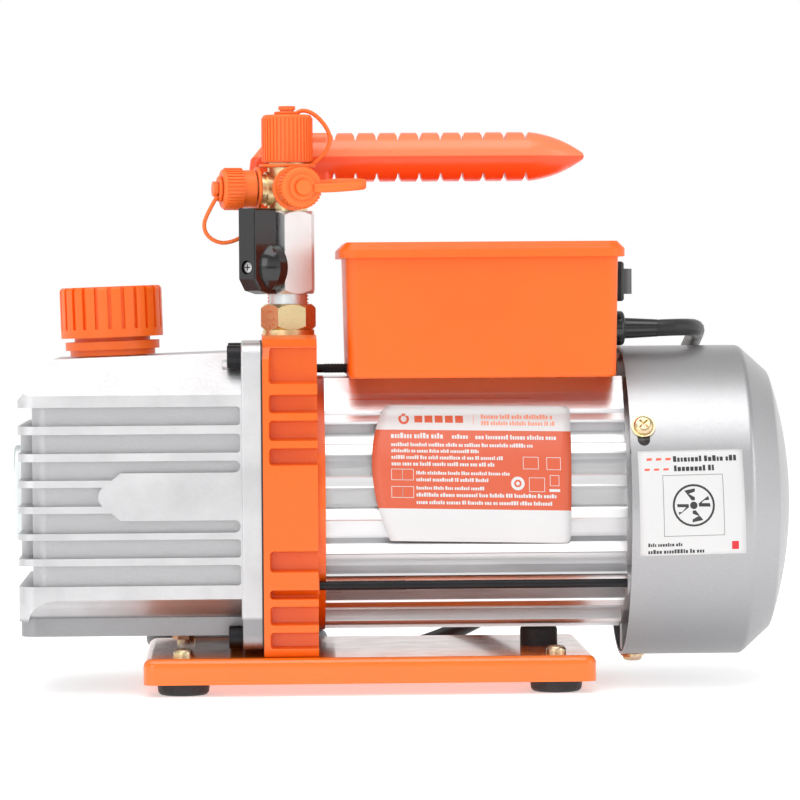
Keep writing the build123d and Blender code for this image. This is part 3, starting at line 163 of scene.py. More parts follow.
# --- mesh building --------------------------------------------------------------------------
class Builder:
    """Collects polygons, given in metres, and makes one mesh object of them.

    A kind is the place of a polygon's finish in the list that make() is given.
    """

    def __init__(self):
        self.points, self.faces, self.kinds = [], [], []

    def add(self, corners, kind=0):
        first = len(self.points)
        self.points += [tuple(c) for c in corners]
        self.faces.append(list(range(first, first + len(corners))))
        self.kinds.append(kind)

    def rows(self, rows, kind=lambda row: 0, closed=False, caps=False):
        """Quads between rows of points; closed joins each row's last point to its first."""
        first, width = len(self.points), len(rows[0])
        for row in rows:
            self.points += [tuple(p) for p in row]
        for r in range(len(rows) - 1):
            for c in range(width if closed else width - 1):
                a, b = first + r * width + c, first + r * width + (c + 1) % width
                self.faces.append([a, b, b + width, a + width])
                self.kinds.append(kind(r))
        if caps:
            self.faces.append(list(range(first + width - 1, first - 1, -1)))
            last = first + (len(rows) - 1) * width
            self.faces.append(list(range(last, last + width)))
            self.kinds += [kind(0), kind(len(rows) - 2)]

    def make(self, name, finishes, smooth=True, closed=True):
        """The mesh object; closed turns its faces outwards, where it has an inside."""
        mesh = bpy.data.meshes.new(name)
        mesh.from_pydata(self.points, [], self.faces)
        for finish in finishes:
            mesh.materials.append(finish.material)
        for polygon, kind in zip(mesh.polygons, self.kinds):
            polygon.material_index = kind
            polygon.use_smooth = smooth
        work = bmesh.new()
        work.from_mesh(mesh)
        bmesh.ops.remove_doubles(work, verts=work.verts, dist=1e-7)
        if closed:
            bmesh.ops.recalc_face_normals(work, faces=work.faces)
        work.to_mesh(mesh)
        work.free()
        thing = bpy.data.objects.new(name, mesh)
        bpy.context.scene.collection.objects.link(thing)
        return thing


# --- materials ------------------------------------------------------------------------------
class Finish:
    """A Principled material whose detail is worked out from the object's own coordinates."""

    def __init__(self, name, colour, roughness, metallic=0.0, **more):
        self.material = bpy.data.materials.new(name)
        self.material.use_nodes = True
        self.material.diffuse_color = (*colour, 1.0)
        self.tree = self.material.node_tree
        self.shader = self.tree.nodes["Principled BSDF"]
        self.place = self.node("ShaderNodeTexCoord").outputs["Object"]
        self.last_normal = None
        self.shader.inputs["Base Color"].default_value = (*colour, 1.0)
        self.shader.inputs["Roughness"].default_value = roughness
        self.shader.inputs["Metallic"].default_value = metallic
        for socket, value in more.items():
            self.shader.inputs[socket.replace("_", " ")].default_value = value

    def node(self, kind):
        return self.tree.nodes.new(kind)

    def wire(self, socket, output):
        self.tree.links.new(output, self.shader.inputs[socket])

    def spread(self, scale, stretch=(1, 1, 1), shift=0.0):
        """The object's own coordinates, scaled and shifted for a texture."""
        mapping = self.node("ShaderNodeMapping")
        mapping.inputs["Scale"].default_value = [scale * s for s in stretch]
        mapping.inputs["Location"].default_value = (shift, shift * 0.7, shift * 1.3)
        self.tree.links.new(self.place, mapping.inputs["Vector"])
        return mapping.outputs["Vector"]

    def noise(self, scale, detail=2.0, stretch=(1, 1, 1), shift=0.0):
        """Soft noise with about scale blobs per metre, longer along an axis of small stretch."""
        texture = self.node("ShaderNodeTexNoise")
        texture.inputs["Scale"].default_value = 1.0
        texture.inputs["Detail"].default_value = detail
        self.tree.links.new(self.spread(scale, stretch, shift), texture.inputs["Vector"])
        return texture.outputs["Fac"]

    def cells(self, scale):
        """Distance from the middle of the nearest of about scale cells per metre."""
        texture = self.node("ShaderNodeTexVoronoi")
        texture.inputs["Scale"].default_value = 1.0
        self.tree.links.new(self.spread(scale), texture.inputs["Vector"])
        return texture.outputs["Distance"]

    def maths(self, kind, a, b=0.0):
        """A sum, product or the like of two numbers, each plain or an output."""
        node = self.node("ShaderNodeMath")
        node.operation = kind
        for socket, value in zip(node.inputs, (a, b)):
            if isinstance(value, float):
                socket.default_value = value
            else:
                self.tree.links.new(value, socket)
        return node.outputs[0]

    def axis(self, letter):
        """A coordinate in metres; the CAD nodes keep the frame's own axes."""
        split = self.node("ShaderNodeSeparateXYZ")
        self.tree.links.new(self.place, split.inputs[0])
        return split.outputs[letter]

    def from_shaft(self):
        """Distance in metres from the axis of the shaft."""
        y, z = self.axis("Y"), self.maths("SUBTRACT", self.axis("Z"), AXIS_Z * MM)
        square = self.maths("ADD", self.maths("MULTIPLY", y, y), self.maths("MULTIPLY", z, z))
        return self.maths("SQRT", square)

    def between(self, value, low, high, start=0.3, stop=0.7):
        """low where value is start or less, high where it is stop or more, even between."""
        ramp = self.node("ShaderNodeMapRange")
        numbers = {"From Min": start, "From Max": stop, "To Min": low, "To Max": high}
        for socket, number in numbers.items():
            ramp.inputs[socket].default_value = number
        self.tree.links.new(value, ramp.inputs["Value"])
        return ramp.outputs["Result"]

    def proud(self, value, limits):
        """0 at and before the first of two limits, 1 from the second on."""
        return self.between(value, 0.0, 1.0, *limits)

    def most(self, *values):
        """The largest of several values."""
        top = values[0]
        for value in values[1:]:
            top = self.maths("MAXIMUM", top, value)
        return top

    def mixed(self, value, a, b, start=0.3, stop=0.7):
        """A tone from a to b as value goes from start to stop."""
        mix = self.node("ShaderNodeMix")
        mix.data_type = "RGBA"
        self.tree.links.new(self.between(value, 0.0, 1.0, start, stop), mix.inputs[0])
        for socket, tone in ((mix.inputs[6], a), (mix.inputs[7], b)):
            if isinstance(tone, tuple):
                socket.default_value = (*tone, 1.0)
            else:
                self.tree.links.new(tone, socket)
        return mix.outputs[2]

    def colour(self, value, a, b, start=0.3, stop=0.7):
        self.wire("Base Color", self.mixed(value, a, b, start, stop))

    def bump(self, height, depth):
        """Adds relief of a depth in millimetres to what is there already."""
        bump = self.node("ShaderNodeBump")
        bump.inputs["Distance"].default_value = depth * MM
        bump.inputs["Strength"].default_value = 1.0
        self.tree.links.new(height, bump.inputs["Height"])
        if self.last_normal is not None:
            self.tree.links.new(self.last_normal, bump.inputs["Normal"])
        self.last_normal = bump.outputs["Normal"]
        self.wire("Normal", self.last_normal)


def shade(colour, share):
    """The colour made darker or lighter."""
    return tuple(c * share for c in colour)


def paint(name, colour, roughness, peel, coat=0.4):
    """Thick gloss paint with a faint orange-peel surface."""
    f = Finish(name, colour, roughness, Coat_Weight=coat, Coat_Roughness=0.08)
    cloud = f.noise(22, shift=3.0)
    f.colour(cloud, shade(colour, 0.95), shade(colour, 1.03))
    f.wire("Roughness", f.between(f.noise(90, shift=1.0), roughness - 0.05, roughness + 0.07))
    f.bump(f.noise(520, detail=1.0), peel)
    f.bump(f.noise(2400, detail=1.0), peel * 0.15)
    return f


def plastic(name, colour, roughness, grain=0.012, **more):
    """Moulded plastic: faint flow clouds, a fine spark-eroded grain and small scuffs."""
    f = Finish(name, colour, roughness, **more)
    cloud = f.noise(16, shift=5.0)
    f.colour(cloud, shade(colour, 0.94), shade(colour, 1.04))
    f.wire("Roughness", f.between(f.noise(140, detail=3.0), roughness - 0.05, roughness + 0.08))
    f.bump(f.noise(1700, detail=2.0), grain)
    return f


def metal(name, colour, roughness, grain, depth, mottle=0.12, streak=(1, 1, 1)):
    """Bare or plated metal with a grain, cloudy tone and, where streak is given, drawn lines."""
    f = Finish(name, colour, roughness, metallic=1.0)
    cloud = f.noise(70, detail=3.0, shift=2.0)
    f.colour(cloud, shade(colour, 1 - mottle), shade(colour, 1 + mottle * 0.5))
    fine = f.noise(grain, detail=2.0, stretch=streak)
    f.wire("Roughness", f.between(fine, roughness - 0.07, roughness + 0.1))
    f.bump(fine, depth)
    return f


GREY_60, GREY_62, GREY_72 = (0.6, 0.6, 0.61), (0.62, 0.62, 0.63), (0.72, 0.72, 0.73)
ORANGE_PAINT = (0.9, 0.17, 0.004)
ORANGE_CAST = (0.86, 0.135, 0.001)
ORANGE_PLASTIC = (0.92, 0.14, 0.005)
ORANGE_HANDLE = (0.92, 0.088, 0.01)
ORANGE_SOFT = (0.93, 0.17, 0.02)
# painted shade for the bottom of the bracket's pockets
ORANGE_POCKET_SHADE = (0.78, 0.108, 0.001)
# painted highlight for the handle's upper half
ORANGE_GRIP_HIGHLIGHT = (0.95, 0.23, 0.09)

# pairs of places, in metres, over which the tone goes from the painted shade of a hollow to a
# proud face
BOX_SIDE = (0.0523, 0.0552)         # oil box, across from the shaft
BOX_END = (-0.1655, -0.1612)        # oil box, along the shaft, its free end first
BOX_TOP = (0.1245, 0.1262)
BOX_FOOT = (0.0395, 0.0415)
BOX_LIP = (0.0325, 0.034)
BRACKET_SIDE = (0.0525, 0.0572)
BRACKET_TOP = (0.1488, 0.1512)
FIN_TIP = (0.0535, 0.0548)          # motor, out from the shaft: painted shade in the grooves, painted highlight on the fin tips
PAD_TOP = (0.1195, 0.1215)          # flat pad on the motor, under the terminal box; painted highlight on its top
GRIP_PARTING = (0.2318, 0.2324)     # parting line of the carry handle, above which a painted highlight lies
COVER_SHADE_FADE = (0.02, 0.115)          # fan cover, from its foot up, over which its painted shade fades out


def cast_aluminium():
    """Die casting blasted with fine grit, with painted shade at the bottom of its grooves and
    under its lip.
    """
    f = Finish("cast_aluminium", (0.66, 0.66, 0.67), 0.42, metallic=1.0)
    cloud = f.mixed(f.noise(45, detail=4.0), GREY_60, GREY_72)
    # painted shade: the hollows between the ribs get a darker grey than the proud faces
    groove_shade_mask = f.most(f.proud(f.maths("ABSOLUTE", f.axis("Y")), BOX_SIDE),
                 f.between(f.axis("X"), 1.0, 0.0, *BOX_END),
                 f.proud(f.axis("Z"), BOX_TOP),
                 f.between(f.axis("Z"), 1.0, 0.0, *BOX_FOOT))
    # painted shade under the lip: darker below BOX_LIP
    outside_with_lip_shade = f.mixed(f.axis("Z"), (0.36, 0.36, 0.37), cloud, *BOX_LIP)
    f.colour(groove_shade_mask, (0.52, 0.52, 0.53), outside_with_lip_shade, 0.0, 1.0)
    grit = f.noise(1500, detail=2.0)
    f.wire("Roughness", f.between(grit, 0.36, 0.54))
    f.bump(f.noise(420, detail=3.0, shift=2.0), 0.07)
    f.bump(grit, 0.06)
    return f


def cast_paint():
    """Orange paint on a casting, with painted shade deepening its tone at the bottom of the cored
    pockets.
    """
    f = paint("orange_cast_paint", ORANGE_CAST, 0.34, 0.09, coat=0.25)
    # painted shade: the pockets are darker than the proud faces
    pocket_shade_mask = f.most(f.proud(f.maths("ABSOLUTE", f.axis("Y")), BRACKET_SIDE),
                  f.proud(f.axis("Z"), BRACKET_TOP))
    f.colour(pocket_shade_mask, ORANGE_POCKET_SHADE, ORANGE_CAST, 0.0, 1.0)
    return f


def finned_aluminium():
    """Extruded aluminium with long drawing lines; painted shade dulls the grooves, painted
    highlight brightens the fin tips and the pad's top.
    """
    f = Finish("extruded_aluminium", (0.74, 0.74, 0.75), 0.34, metallic=1.0)
    lines = f.noise(900, detail=2.0, stretch=(0.01, 1, 1))
    cloud = f.noise(60, detail=3.0, stretch=(0.3, 1, 1))
    tone = f.mixed(cloud, GREY_62, (0.76, 0.76, 0.77))
    # painted light: darker in the grooves, brighter on the fin tips and the top of the pad
    groove_shade_tip_light = f.most(f.proud(f.from_shaft(), FIN_TIP), f.between(f.axis("Z"), 0.0, 0.7, *PAD_TOP))
    f.colour(groove_shade_tip_light, tone, (0.86, 0.86, 0.87), 0.0, 1.0)
    f.wire("Roughness", f.between(lines, 0.27, 0.42))
    f.bump(lines, 0.02)
    return f


def handle_plastic():
    """Moulded handle whose upper half, above the parting line, is lightened by a painted
    highlight.
    """
    f = plastic("handle_plastic", ORANGE_HANDLE, 0.32, Coat_Weight=0.2)
    # painted highlight: paler above the parting line
    f.colour(f.proud(f.axis("Z"), GRIP_PARTING), ORANGE_HANDLE, ORANGE_GRIP_HIGHLIGHT, 0.0, 1.0)
    return f


def silver_paint():
    """Metallic paint: tiny bright flakes under a satin film, with painted shade darkening it
    towards the foot.
    """
    f = Finish("silver_paint", GREY_62, 0.36, metallic=0.9, Coat_Weight=0.15,
               Coat_Roughness=0.25)
    flake = f.cells(3600)
    body = f.mixed(flake, GREY_60, (0.5, 0.5, 0.51), 0.1, 0.8)
    # painted shade for the lower part of the cover
    low = f.mixed(flake, (0.38, 0.38, 0.39), (0.31, 0.31, 0.32), 0.1, 0.8)
    f.colour(f.axis("Z"), low, body, *COVER_SHADE_FADE)
    f.wire("Roughness", f.between(f.noise(900, detail=2.0), 0.34, 0.44))
    f.bump(flake, 0.006)
    f.bump(f.noise(260, detail=2.0), 0.02)
    return f


def zinc():
    """Yellow-passivated zinc, straw to pink to green as the film's thickness varies."""
    f = Finish("yellow_zinc", (0.72, 0.58, 0.3), 0.27, metallic=1.0)
    film = f.noise(230, detail=2.0)
    warm = f.mixed(film, (0.78, 0.66, 0.36), (0.7, 0.5, 0.36), 0.35, 0.6)
    f.colour(f.noise(170, detail=1.0, shift=9.0), warm, (0.5, 0.6, 0.4), 0.55, 0.75)
    f.wire("Roughness", f.between(f.noise(1300), 0.2, 0.36))
    f.bump(f.noise(1500, detail=2.0), 0.008)
    return f


def rubber(name, colour, roughness=0.62):
    """Soft black compound with a dull bloom."""
    f = Finish(name, colour, roughness, Sheen_Weight=0.15, Sheen_Roughness=0.5)
    f.colour(f.noise(90, detail=4.0), colour, shade(colour, 1.7))
    f.wire("Roughness", f.between(f.noise(600), roughness - 0.08, roughness + 0.14))
    f.bump(f.noise(1900, detail=3.0), 0.03)
    return f


def glass():
    """Pressed sight glass, faintly smeared."""
    f = Finish("sight_glass", (0.95, 0.97, 0.96), 0.03, IOR=1.5, Transmission_Weight=0.9)
    f.wire("Roughness", f.between(f.noise(300, detail=3.0), 0.02, 0.07))
    return f


def winding():
    """Varnished copper wire lying round the motor's axis."""
    f = Finish("winding_wire", (0.5, 0.18, 0.07), 0.35, metallic=0.7)
    strands = f.noise(1200, detail=1.0, stretch=(1.0, 0.25, 0.25))
    f.colour(strands, (0.34, 0.11, 0.04), (0.62, 0.25, 0.1))
    f.bump(strands, 0.15)
    return f


def paper(name, colour):
    """Gasket paper with its fibres."""
    f = Finish(name, colour, 0.85)
    fibres = f.noise(900, detail=4.0, stretch=(1, 0.4, 1))
    f.colour(fibres, shade(colour, 0.8), shade(colour, 1.15))
    f.bump(fibres, 0.04)
    return f


def film(name, colour, roughness):
    """Printed label film: nearly even, with a faint roller texture."""
    f = Finish(name, colour, roughness, Coat_Weight=0.2, Coat_Roughness=0.2)
    f.colour(f.noise(30), shade(colour, 0.97), colour)
    f.wire("Roughness", f.between(f.noise(500, detail=2.0), roughness - 0.05, roughness + 0.08))
    f.bump(f.noise(1100, detail=1.0), 0.006)
    return f


FINISHES = {
    "orange_paint": paint("orange_powder_coat", ORANGE_PAINT, 0.2, 0.05, coat=0.6),
    "orange_cast": cast_paint(),
    "orange_plastic": plastic("orange_plastic", ORANGE_PLASTIC, 0.36),
    "orange_soft": plastic("orange_soft_plastic", ORANGE_SOFT, 0.42, grain=0.02),
    "cast_alu": cast_aluminium(),
    "extruded_alu": finned_aluminium(),
    "silver_sheet": silver_paint(),
    "rubber": rubber("black_rubber", (0.018, 0.018, 0.019)),
    "zinc_yellow": zinc(),
    "black_steel": metal("black_oxide_steel", (0.035, 0.035, 0.037), 0.38, 900, 0.01),
    "steel": metal("machined_steel", (0.56, 0.56, 0.57), 0.3, 1100, 0.012,
                   streak=(1, 0.05, 0.05)),
    "nickel": metal("satin_nickel", (0.82, 0.86, 0.86), 0.46, 1500, 0.012, mottle=0.04),
    "brass": metal("machined_brass", (0.87, 0.7, 0.39), 0.34, 900, 0.0012, mottle=0.05),
    "copper": metal("dull_copper", (0.55, 0.3, 0.19), 0.42, 800, 0.02, mottle=0.2),
    "black_plastic": plastic("black_plastic", (0.008, 0.008, 0.009), 0.2, grain=0.006,
                             Coat_Weight=0.4),
    "grey_plastic": plastic("grey_plastic", (0.11, 0.11, 0.115), 0.42, grain=0.02),
    "glass": glass(),
    "cast_iron": metal("machined_cast_iron", (0.3, 0.3, 0.31), 0.46, 600, 0.03, mottle=0.2),
    "carbon": rubber("carbon_composite", (0.03, 0.03, 0.032), 0.5),
    "winding": winding(),
    "white_plastic": plastic("white_plastic", (0.72, 0.72, 0.69), 0.45),
    "gasket_paper": paper("gasket_paper", (0.06, 0.055, 0.05)),
    "cord_pvc": rubber("cord_pvc", (0.01, 0.01, 0.011), 0.36),
}
HANDLE = handle_plastic()           # the handle's own finish, in place of its slot's
THREAD_Z = 167.35                   # the plated threads of the inlet start above the brass nut


def dress_nodes():
    """Gives every CAD node its finish."""
    for row in frame["record"]["subparts"]:
        finish = HANDLE if row["node"] == "handle" else FINISHES[row["material_slot"]]
        mesh = nodes[row["node"]].data
        mesh.materials.clear()
        mesh.materials.append(finish.material)
    nut = nodes["inlet_fitting"]
    nut.data.materials.append(FINISHES["nickel"].material)
    for polygon in nut.data.polygons:
        if (nut.matrix_world @ polygon.center).z > THREAD_Z * MM:
            polygon.material_index = 1


dress_nodes()
cord.data.materials.append(FINISHES["cord_pvc"].material)


# --- stage ----------------------------------------------------------------------------------
# the studio is brightest at the horizon: both ends of the fade, as the upward share of a
# direction, and the strength at each
WORLD_FADE = (0.25, 0.6, 1.0, 0.45)
AIM = Vector((0.0, 0.0, 0.1))       # where the lights and the flag face
# name, place, size and power of each soft light
LIGHTS = [("top_light", (-0.3, -0.5, 1.9), (2.2, 1.4), 22.0),
          ("front_light", (-1.2, -2.2, 1.1), (1.0, 1.4), 9.0),
          ("right_light", (1.8, -1.1, 0.9), (0.7, 1.4), 5.0)]
# place and size of the dark panel that only the metal sees
FLAG_AT, FLAG_SIZE = (0.0, -2.6, 0.15), (2.0, 0.3)
FLOOR_HALF = 40.0
FLOOR_TONES = ((0.9, 0.9, 0.9), (0.93, 0.93, 0.93))
FLOOR_GLOW = 0.45
WHITE = (1.0, 1.0, 1.0, 1.0)


def face_aim(thing, at, forward, upward):
    """Places a thing and turns its forward axis to AIM."""
    thing.location = at
    thing.rotation_mode = "QUATERNION"
    thing.rotation_quaternion = (AIM - Vector(at)).to_track_quat(forward, upward)


def rectangle(wide, deep, high):
    """Corners of a rectangle about the origin; deep or high is zero."""
    return [(-wide, -deep, -high), (wide, -deep, -high), (wide, deep, high), (-wide, deep, high)]


def make_world():
    """A white studio, paler near the horizon than overhead."""
    world = bpy.data.worlds.new("studio")
    world.use_nodes = True
    tree = world.node_tree
    heading = tree.nodes.new("ShaderNodeTexCoord").outputs["Generated"]
    split = tree.nodes.new("ShaderNodeSeparateXYZ")
    tree.links.new(heading, split.inputs[0])
    fade = tree.nodes.new("ShaderNodeMapRange")
    for socket, number in zip(("From Min", "From Max", "To Min", "To Max"), WORLD_FADE):
        fade.inputs[socket].default_value = number
    tree.links.new(split.outputs["Z"], fade.inputs["Value"])
    tree.links.new(fade.outputs["Result"], tree.nodes["Background"].inputs["Strength"])
    tree.nodes["Background"].inputs["Color"].default_value = WHITE
    bpy.context.scene.world = world


def make_floor():
    """A plain pale floor that glows a little, so its edge is lost in the studio's white."""
    floor = Builder()
    floor.add(rectangle(FLOOR_HALF, FLOOR_HALF, 0))
    pale = Finish("floor_white", FLOOR_TONES[0], 0.55)
    grain = pale.noise(60, detail=2.0)
    pale.colour(grain, *FLOOR_TONES)
    pale.wire("Roughness", pale.between(grain, 0.5, 0.6))
    pale.shader.inputs["Emission Color"].default_value = WHITE
    pale.shader.inputs["Emission Strength"].default_value = FLOOR_GLOW
    floor.make("floor", [pale], smooth=False)


def make_lights():
    """Three soft lights, and the dark flag that gives the metal its low reflection."""
    for name, at, size, power in LIGHTS:
        light = bpy.data.lights.new(name, "AREA")
        light.shape = "RECTANGLE"
        light.size, light.size_y = size
        light.energy = power
        lamp = bpy.data.objects.new(name, light)
        face_aim(lamp, at, "-Z", "Y")
        lamp.visible_camera = False
        bpy.context.scene.collection.objects.link(lamp)

    flag = Builder()
    flag.add(rectangle(FLAG_SIZE[0] / 2, 0, FLAG_SIZE[1] / 2))
    panel = flag.make("flag_low", [Finish("flag_black", (0.02, 0.02, 0.02), 0.9)], smooth=False)
    face_aim(panel, FLAG_AT, "Y", "Z")
    panel.visible_camera = False
    panel.visible_shadow = False
    panel.visible_diffuse = False


bpy.context.scene.view_settings.view_transform = "Standard"
make_world()
make_floor()
make_lights()


# --- labels ---------------------------------------------------------------------------------
FILM = 0.1                          # thickness of a label
INK, SECOND_INK = 0.03, 0.05        # how far the print stands off its label
RING_STEPS = 32

# the motor's label: its places are along X, and up from the shaft
MOTOR_LABEL_R = 55.3
LABEL_SKEW = math.radians(1.9) / 85     # the sheet is stuck on a little askew, about X = 28
LABEL_MID_X = 28
LABEL_Z = (-15.0, 43.2)
LABEL_CORNER = 2.5
BAND = (-0.9, 32.6)                 # heights of the orange band
# above the last fin the film runs over the edge of the flat pad: height and depth of the
# corners of that run, and the run's slope before and after the second corner
PAD_FOOT, PAD_EDGE = (39.5, 38.7), (41.6, 38.66)
PAD_FACE_SLOPE, PAD_EDGE_SLOPE = 0.02, 0.68
# start, stop, foot and head of each row of small print on the band
BAND_ROWS = [(-6.1, 16.7, 29.0, 31.3), (20.1, 27.3, 29.0, 30.9), (30.2, 66.2, 28.9, 30.8),
             (-6.1, 55.6, 25.6, 27.2), (-6.1, 31.6, 23.0, 24.5), (-6.1, 43.1, 20.2, 21.8),
             (-6.1, 39.3, 17.4, 19.1), (4.4, 44.6, 13.7, 15.2), (4.4, 36.7, 10.8, 12.4),
             (4.4, 34.0, 7.3, 8.8), (4.4, 65.5, 4.3, 6.0), (4.4, 64.6, 1.1, 2.8)]
TOP_ROWS = [(33.0, 64.7, 37.5, 39.4), (33.0, 64.9, 34.8, 36.6)]
# left, right, foot and head of the boxes on the band
BAND_FRAMES = [(-6.3, 3.3, 11.2, 16.0), (-6.3, 3.3, 3.7, 8.6), (-1.6, -1.4, 11.2, 16.0),
               (-1.6, -1.4, 3.7, 8.6), (50.3, 57.0, 16.5, 21.7), (60.4, 66.5, 16.3, 21.6),
               (52.7, 59.5, 6.9, 13.0), (61.7, 65.7, 9.5, 14.1)]
BAND_LINE = (0.22, 0.22)
BAND_BAR = ((61.4, 66.0), (7.0, 8.2))
SPOT_AT, SPOT_R, SPOT_RING_R = (47.9, 10.4), 2.9, 1.6
RING_AT, RING_R = (-0.4, 37.2), 2.3
DIVIDER = ((29.6, 29.8), (34.8, 39.2))
# five squares in a row, where a name would stand
SQUARE_X, SQUARE_WIDE, SQUARE_PITCH, SQUARE_Z = 4.2, 3.4, 4.4, (35.7, 38.7)

# the fan cover's label: its places are shares of its width and height
COVER_LABEL_R = 68.12
# X of its left and right edge at its foot and head, then the same for its turn in degrees
COVER_CORNERS = ((99.4, 144.8, 98.5, 143.2), (-18.1, -17.2, 20.3, 20.9))
COVER_ROWS = [(0.335, 0.965, 0.89, 0.945), (0.34, 0.74, 0.8, 0.855), (0.075, 0.42, 0.09, 0.125),
              (0.075, 0.62, 0.02, 0.06)]
COVER_BOX, COVER_LINE = (0.225, 0.8, 0.185, 0.765), (0.006, 0.006)
FAN_AT, FAN_RING_R, FAN_HUB_R = (0.512, 0.475), 0.2, 0.035
# corners of a blade of the fan mark: how far out, and how far round in radians
FAN_BLADE = ((0.05, -0.25), (0.16, -0.1), (0.165, 0.55), (0.05, 0.35))
# corners of the first slanted bar, and the step to the next
SLANT_BAR, SLANT_STEP = ((0.055, 0.81), (0.105, 0.81), (0.135, 0.93), (0.085, 0.93)), 0.09
COVER_SPOT = ((0.865, 0.93), (0.045, 0.125))


def on_motor(x, height, lift=0.0):
    """A point of the motor's label from its place along X and its height over the shaft."""
    turn = math.asin(height / MOTOR_LABEL_R) - LABEL_SKEW * (x - LABEL_MID_X)
    y, z = MOTOR_LABEL_R * math.cos(turn), MOTOR_LABEL_R * math.sin(turn)
    if z >= PAD_EDGE[0]:
        y = PAD_EDGE[1] - PAD_EDGE_SLOPE * (z - PAD_EDGE[0])
    elif z > PAD_FOOT[0]:
        y = PAD_FOOT[1] - PAD_FACE_SLOPE * (z - PAD_FOOT[0])
    grow = 1 + lift / math.hypot(y, z)
    return (x * MM, -y * grow * MM, (AXIS_Z + z * grow) * MM)


def on_cover(s, t, lift=0.0):
    """A point of the fan cover's label from its shares across and up the label."""
    values = []
    for low_left, low_right, high_left, high_right in COVER_CORNERS:
        low = low_left + (low_right - low_left) * s
        values.append(low + (high_left + (high_right - high_left) * s - low) * t)
    x, angle, radius = values[0], math.radians(values[1]), COVER_LABEL_R + lift
    return (x * MM, -radius * math.cos(angle) * MM, (AXIS_Z + radius * math.sin(angle)) * MM)


def patch(sheet, place, across, up, kind, step=math.inf, lift=INK):
    """A rectangle of print that follows its label, cut into rows no taller than step."""
    count = max(1, math.ceil((up[1] - up[0]) / step))
    rows = []
    for i in range(count + 1):
        height = up[0] + (up[1] - up[0]) * i / count
        rows.append([place(across[0], height, lift), place(across[1], height, lift)])
    sheet.rows(rows, kind=lambda row: kind)


def small_print(sheet, place, row, kind, shape):
    """A row of plain ticks in word-like groups; shape is a tick's width over its height."""
    start, stop, foot, head = row
    tall = head - foot
    at = start
    while at < stop - tall * shape:
        for _ in range(dice.randint(2, 9)):
            wide = tall * shape * dice.uniform(0.35, 0.6)
            top = head if dice.random() < 0.3 else foot + tall * 0.74
            if at + wide < stop:
                patch(sheet, place, (at, at + wide), (foot, top), kind)
            at += wide + tall * shape * 0.17
        at += tall * shape * 0.32


def frame_lines(sheet, place, box, kind, line, step):
    """The outline of a rectangle, with lines of the given widths across and up."""
    x0, x1, z0, z1 = box
    wide, tall = line
    for across, up in (((x0, x1), (z0, z0 + tall)), ((x0, x1), (z1 - tall, z1)),
                       ((x0, x0 + wide), (z0, z1)), ((x1 - wide, x1), (z0, z1))):
        patch(sheet, place, across, up, kind, step)


def disc(sheet, place, centre, radius, kind, hole=0.0, lift=INK):
    """A round spot of print, or a ring where hole gives the share that is left out."""
    rows = []
    for share in (1.0, hole):
        rows.append([place(centre[0] + radius * share * math.cos(i * math.tau / RING_STEPS),
                           centre[1] + radius * share * math.sin(i * math.tau / RING_STEPS),
                           lift)
                     for i in range(RING_STEPS)])
    sheet.rows(rows, kind=lambda row: kind, closed=True)


def label_edge(height):
    """Left and right end of the motor's label: a bowed edge, and a straight one whose
    corners are rounded."""
    angle = math.degrees(math.asin(height / MOTOR_LABEL_R))
    left = -14.5 + 7.6 * ((angle - 19) / 34.5) ** 2
    right = 70.5 + (angle + 16) / 68 * 1.1
    near = min(height - LABEL_Z[0], LABEL_Z[1] - height) * 1.02
    if near < LABEL_CORNER:
        right -= LABEL_CORNER - math.sqrt(max(0.0, LABEL_CORNER ** 2 - (LABEL_CORNER - near) ** 2))
    return left, right


def motor_label():
    """The motor's label: a pale film with an orange band, and its print."""
    corner_steps = (0.0, 0.2, 0.6, 1.2, 2.0)
    heights = [LABEL_Z[0] + d for d in corner_steps]
    heights += [LABEL_Z[0] + 3 + 1.07 * i for i in range(11)] + [BAND[0]]
    heights += [BAND[0] + (BAND[1] - BAND[0]) * i / 30 for i in range(1, 31)]
    heights += [33.6, 34.8, 36.0, 37.2, 38.4, 39.4, 39.9, 40.5]
    heights += [LABEL_Z[1] - d for d in reversed(corner_steps)]
    sheet = Builder()
    rows = []
    for height in heights:
        left, right = label_edge(height)
        rows.append([on_motor(left + (right - left) * i / 20, height) for i in range(21)])
    orange = [i for i, h in enumerate(heights) if BAND[0] - 0.01 <= h < BAND[1] - 0.01]
    sheet.rows(rows, kind=lambda row: 1 if row in orange else 0)
    label = sheet.make("motor_label", [PRINT["white"], PRINT["orange"]], closed=False)
    thicken(label)
    white, orange_ink, pale = range(3)
    step = 1.5
    ink = Builder()
    for row in BAND_ROWS:
        small_print(ink, on_motor, row, white, 0.95)
    for box in BAND_FRAMES:
        frame_lines(ink, on_motor, box, white, BAND_LINE, step)
    disc(ink, on_motor, SPOT_AT, SPOT_R, white)
    disc(ink, on_motor, SPOT_AT, SPOT_RING_R, orange_ink, hole=0.5, lift=SECOND_INK)
    patch(ink, on_motor, *BAND_BAR, white, step)
    for row in TOP_ROWS:
        small_print(ink, on_motor, row, pale, 0.95)
    patch(ink, on_motor, *DIVIDER, pale, step)
    disc(ink, on_motor, RING_AT, RING_R, orange_ink, hole=0.55)
    for i in range(5):
        left = SQUARE_X + SQUARE_PITCH * i
        patch(ink, on_motor, (left, left + SQUARE_WIDE), SQUARE_Z, orange_ink, step)
    inks = [PRINT["white"], PRINT["orange"], PRINT["pale_orange"]]
    return [label, ink.make("motor_label_print", inks, closed=False)]


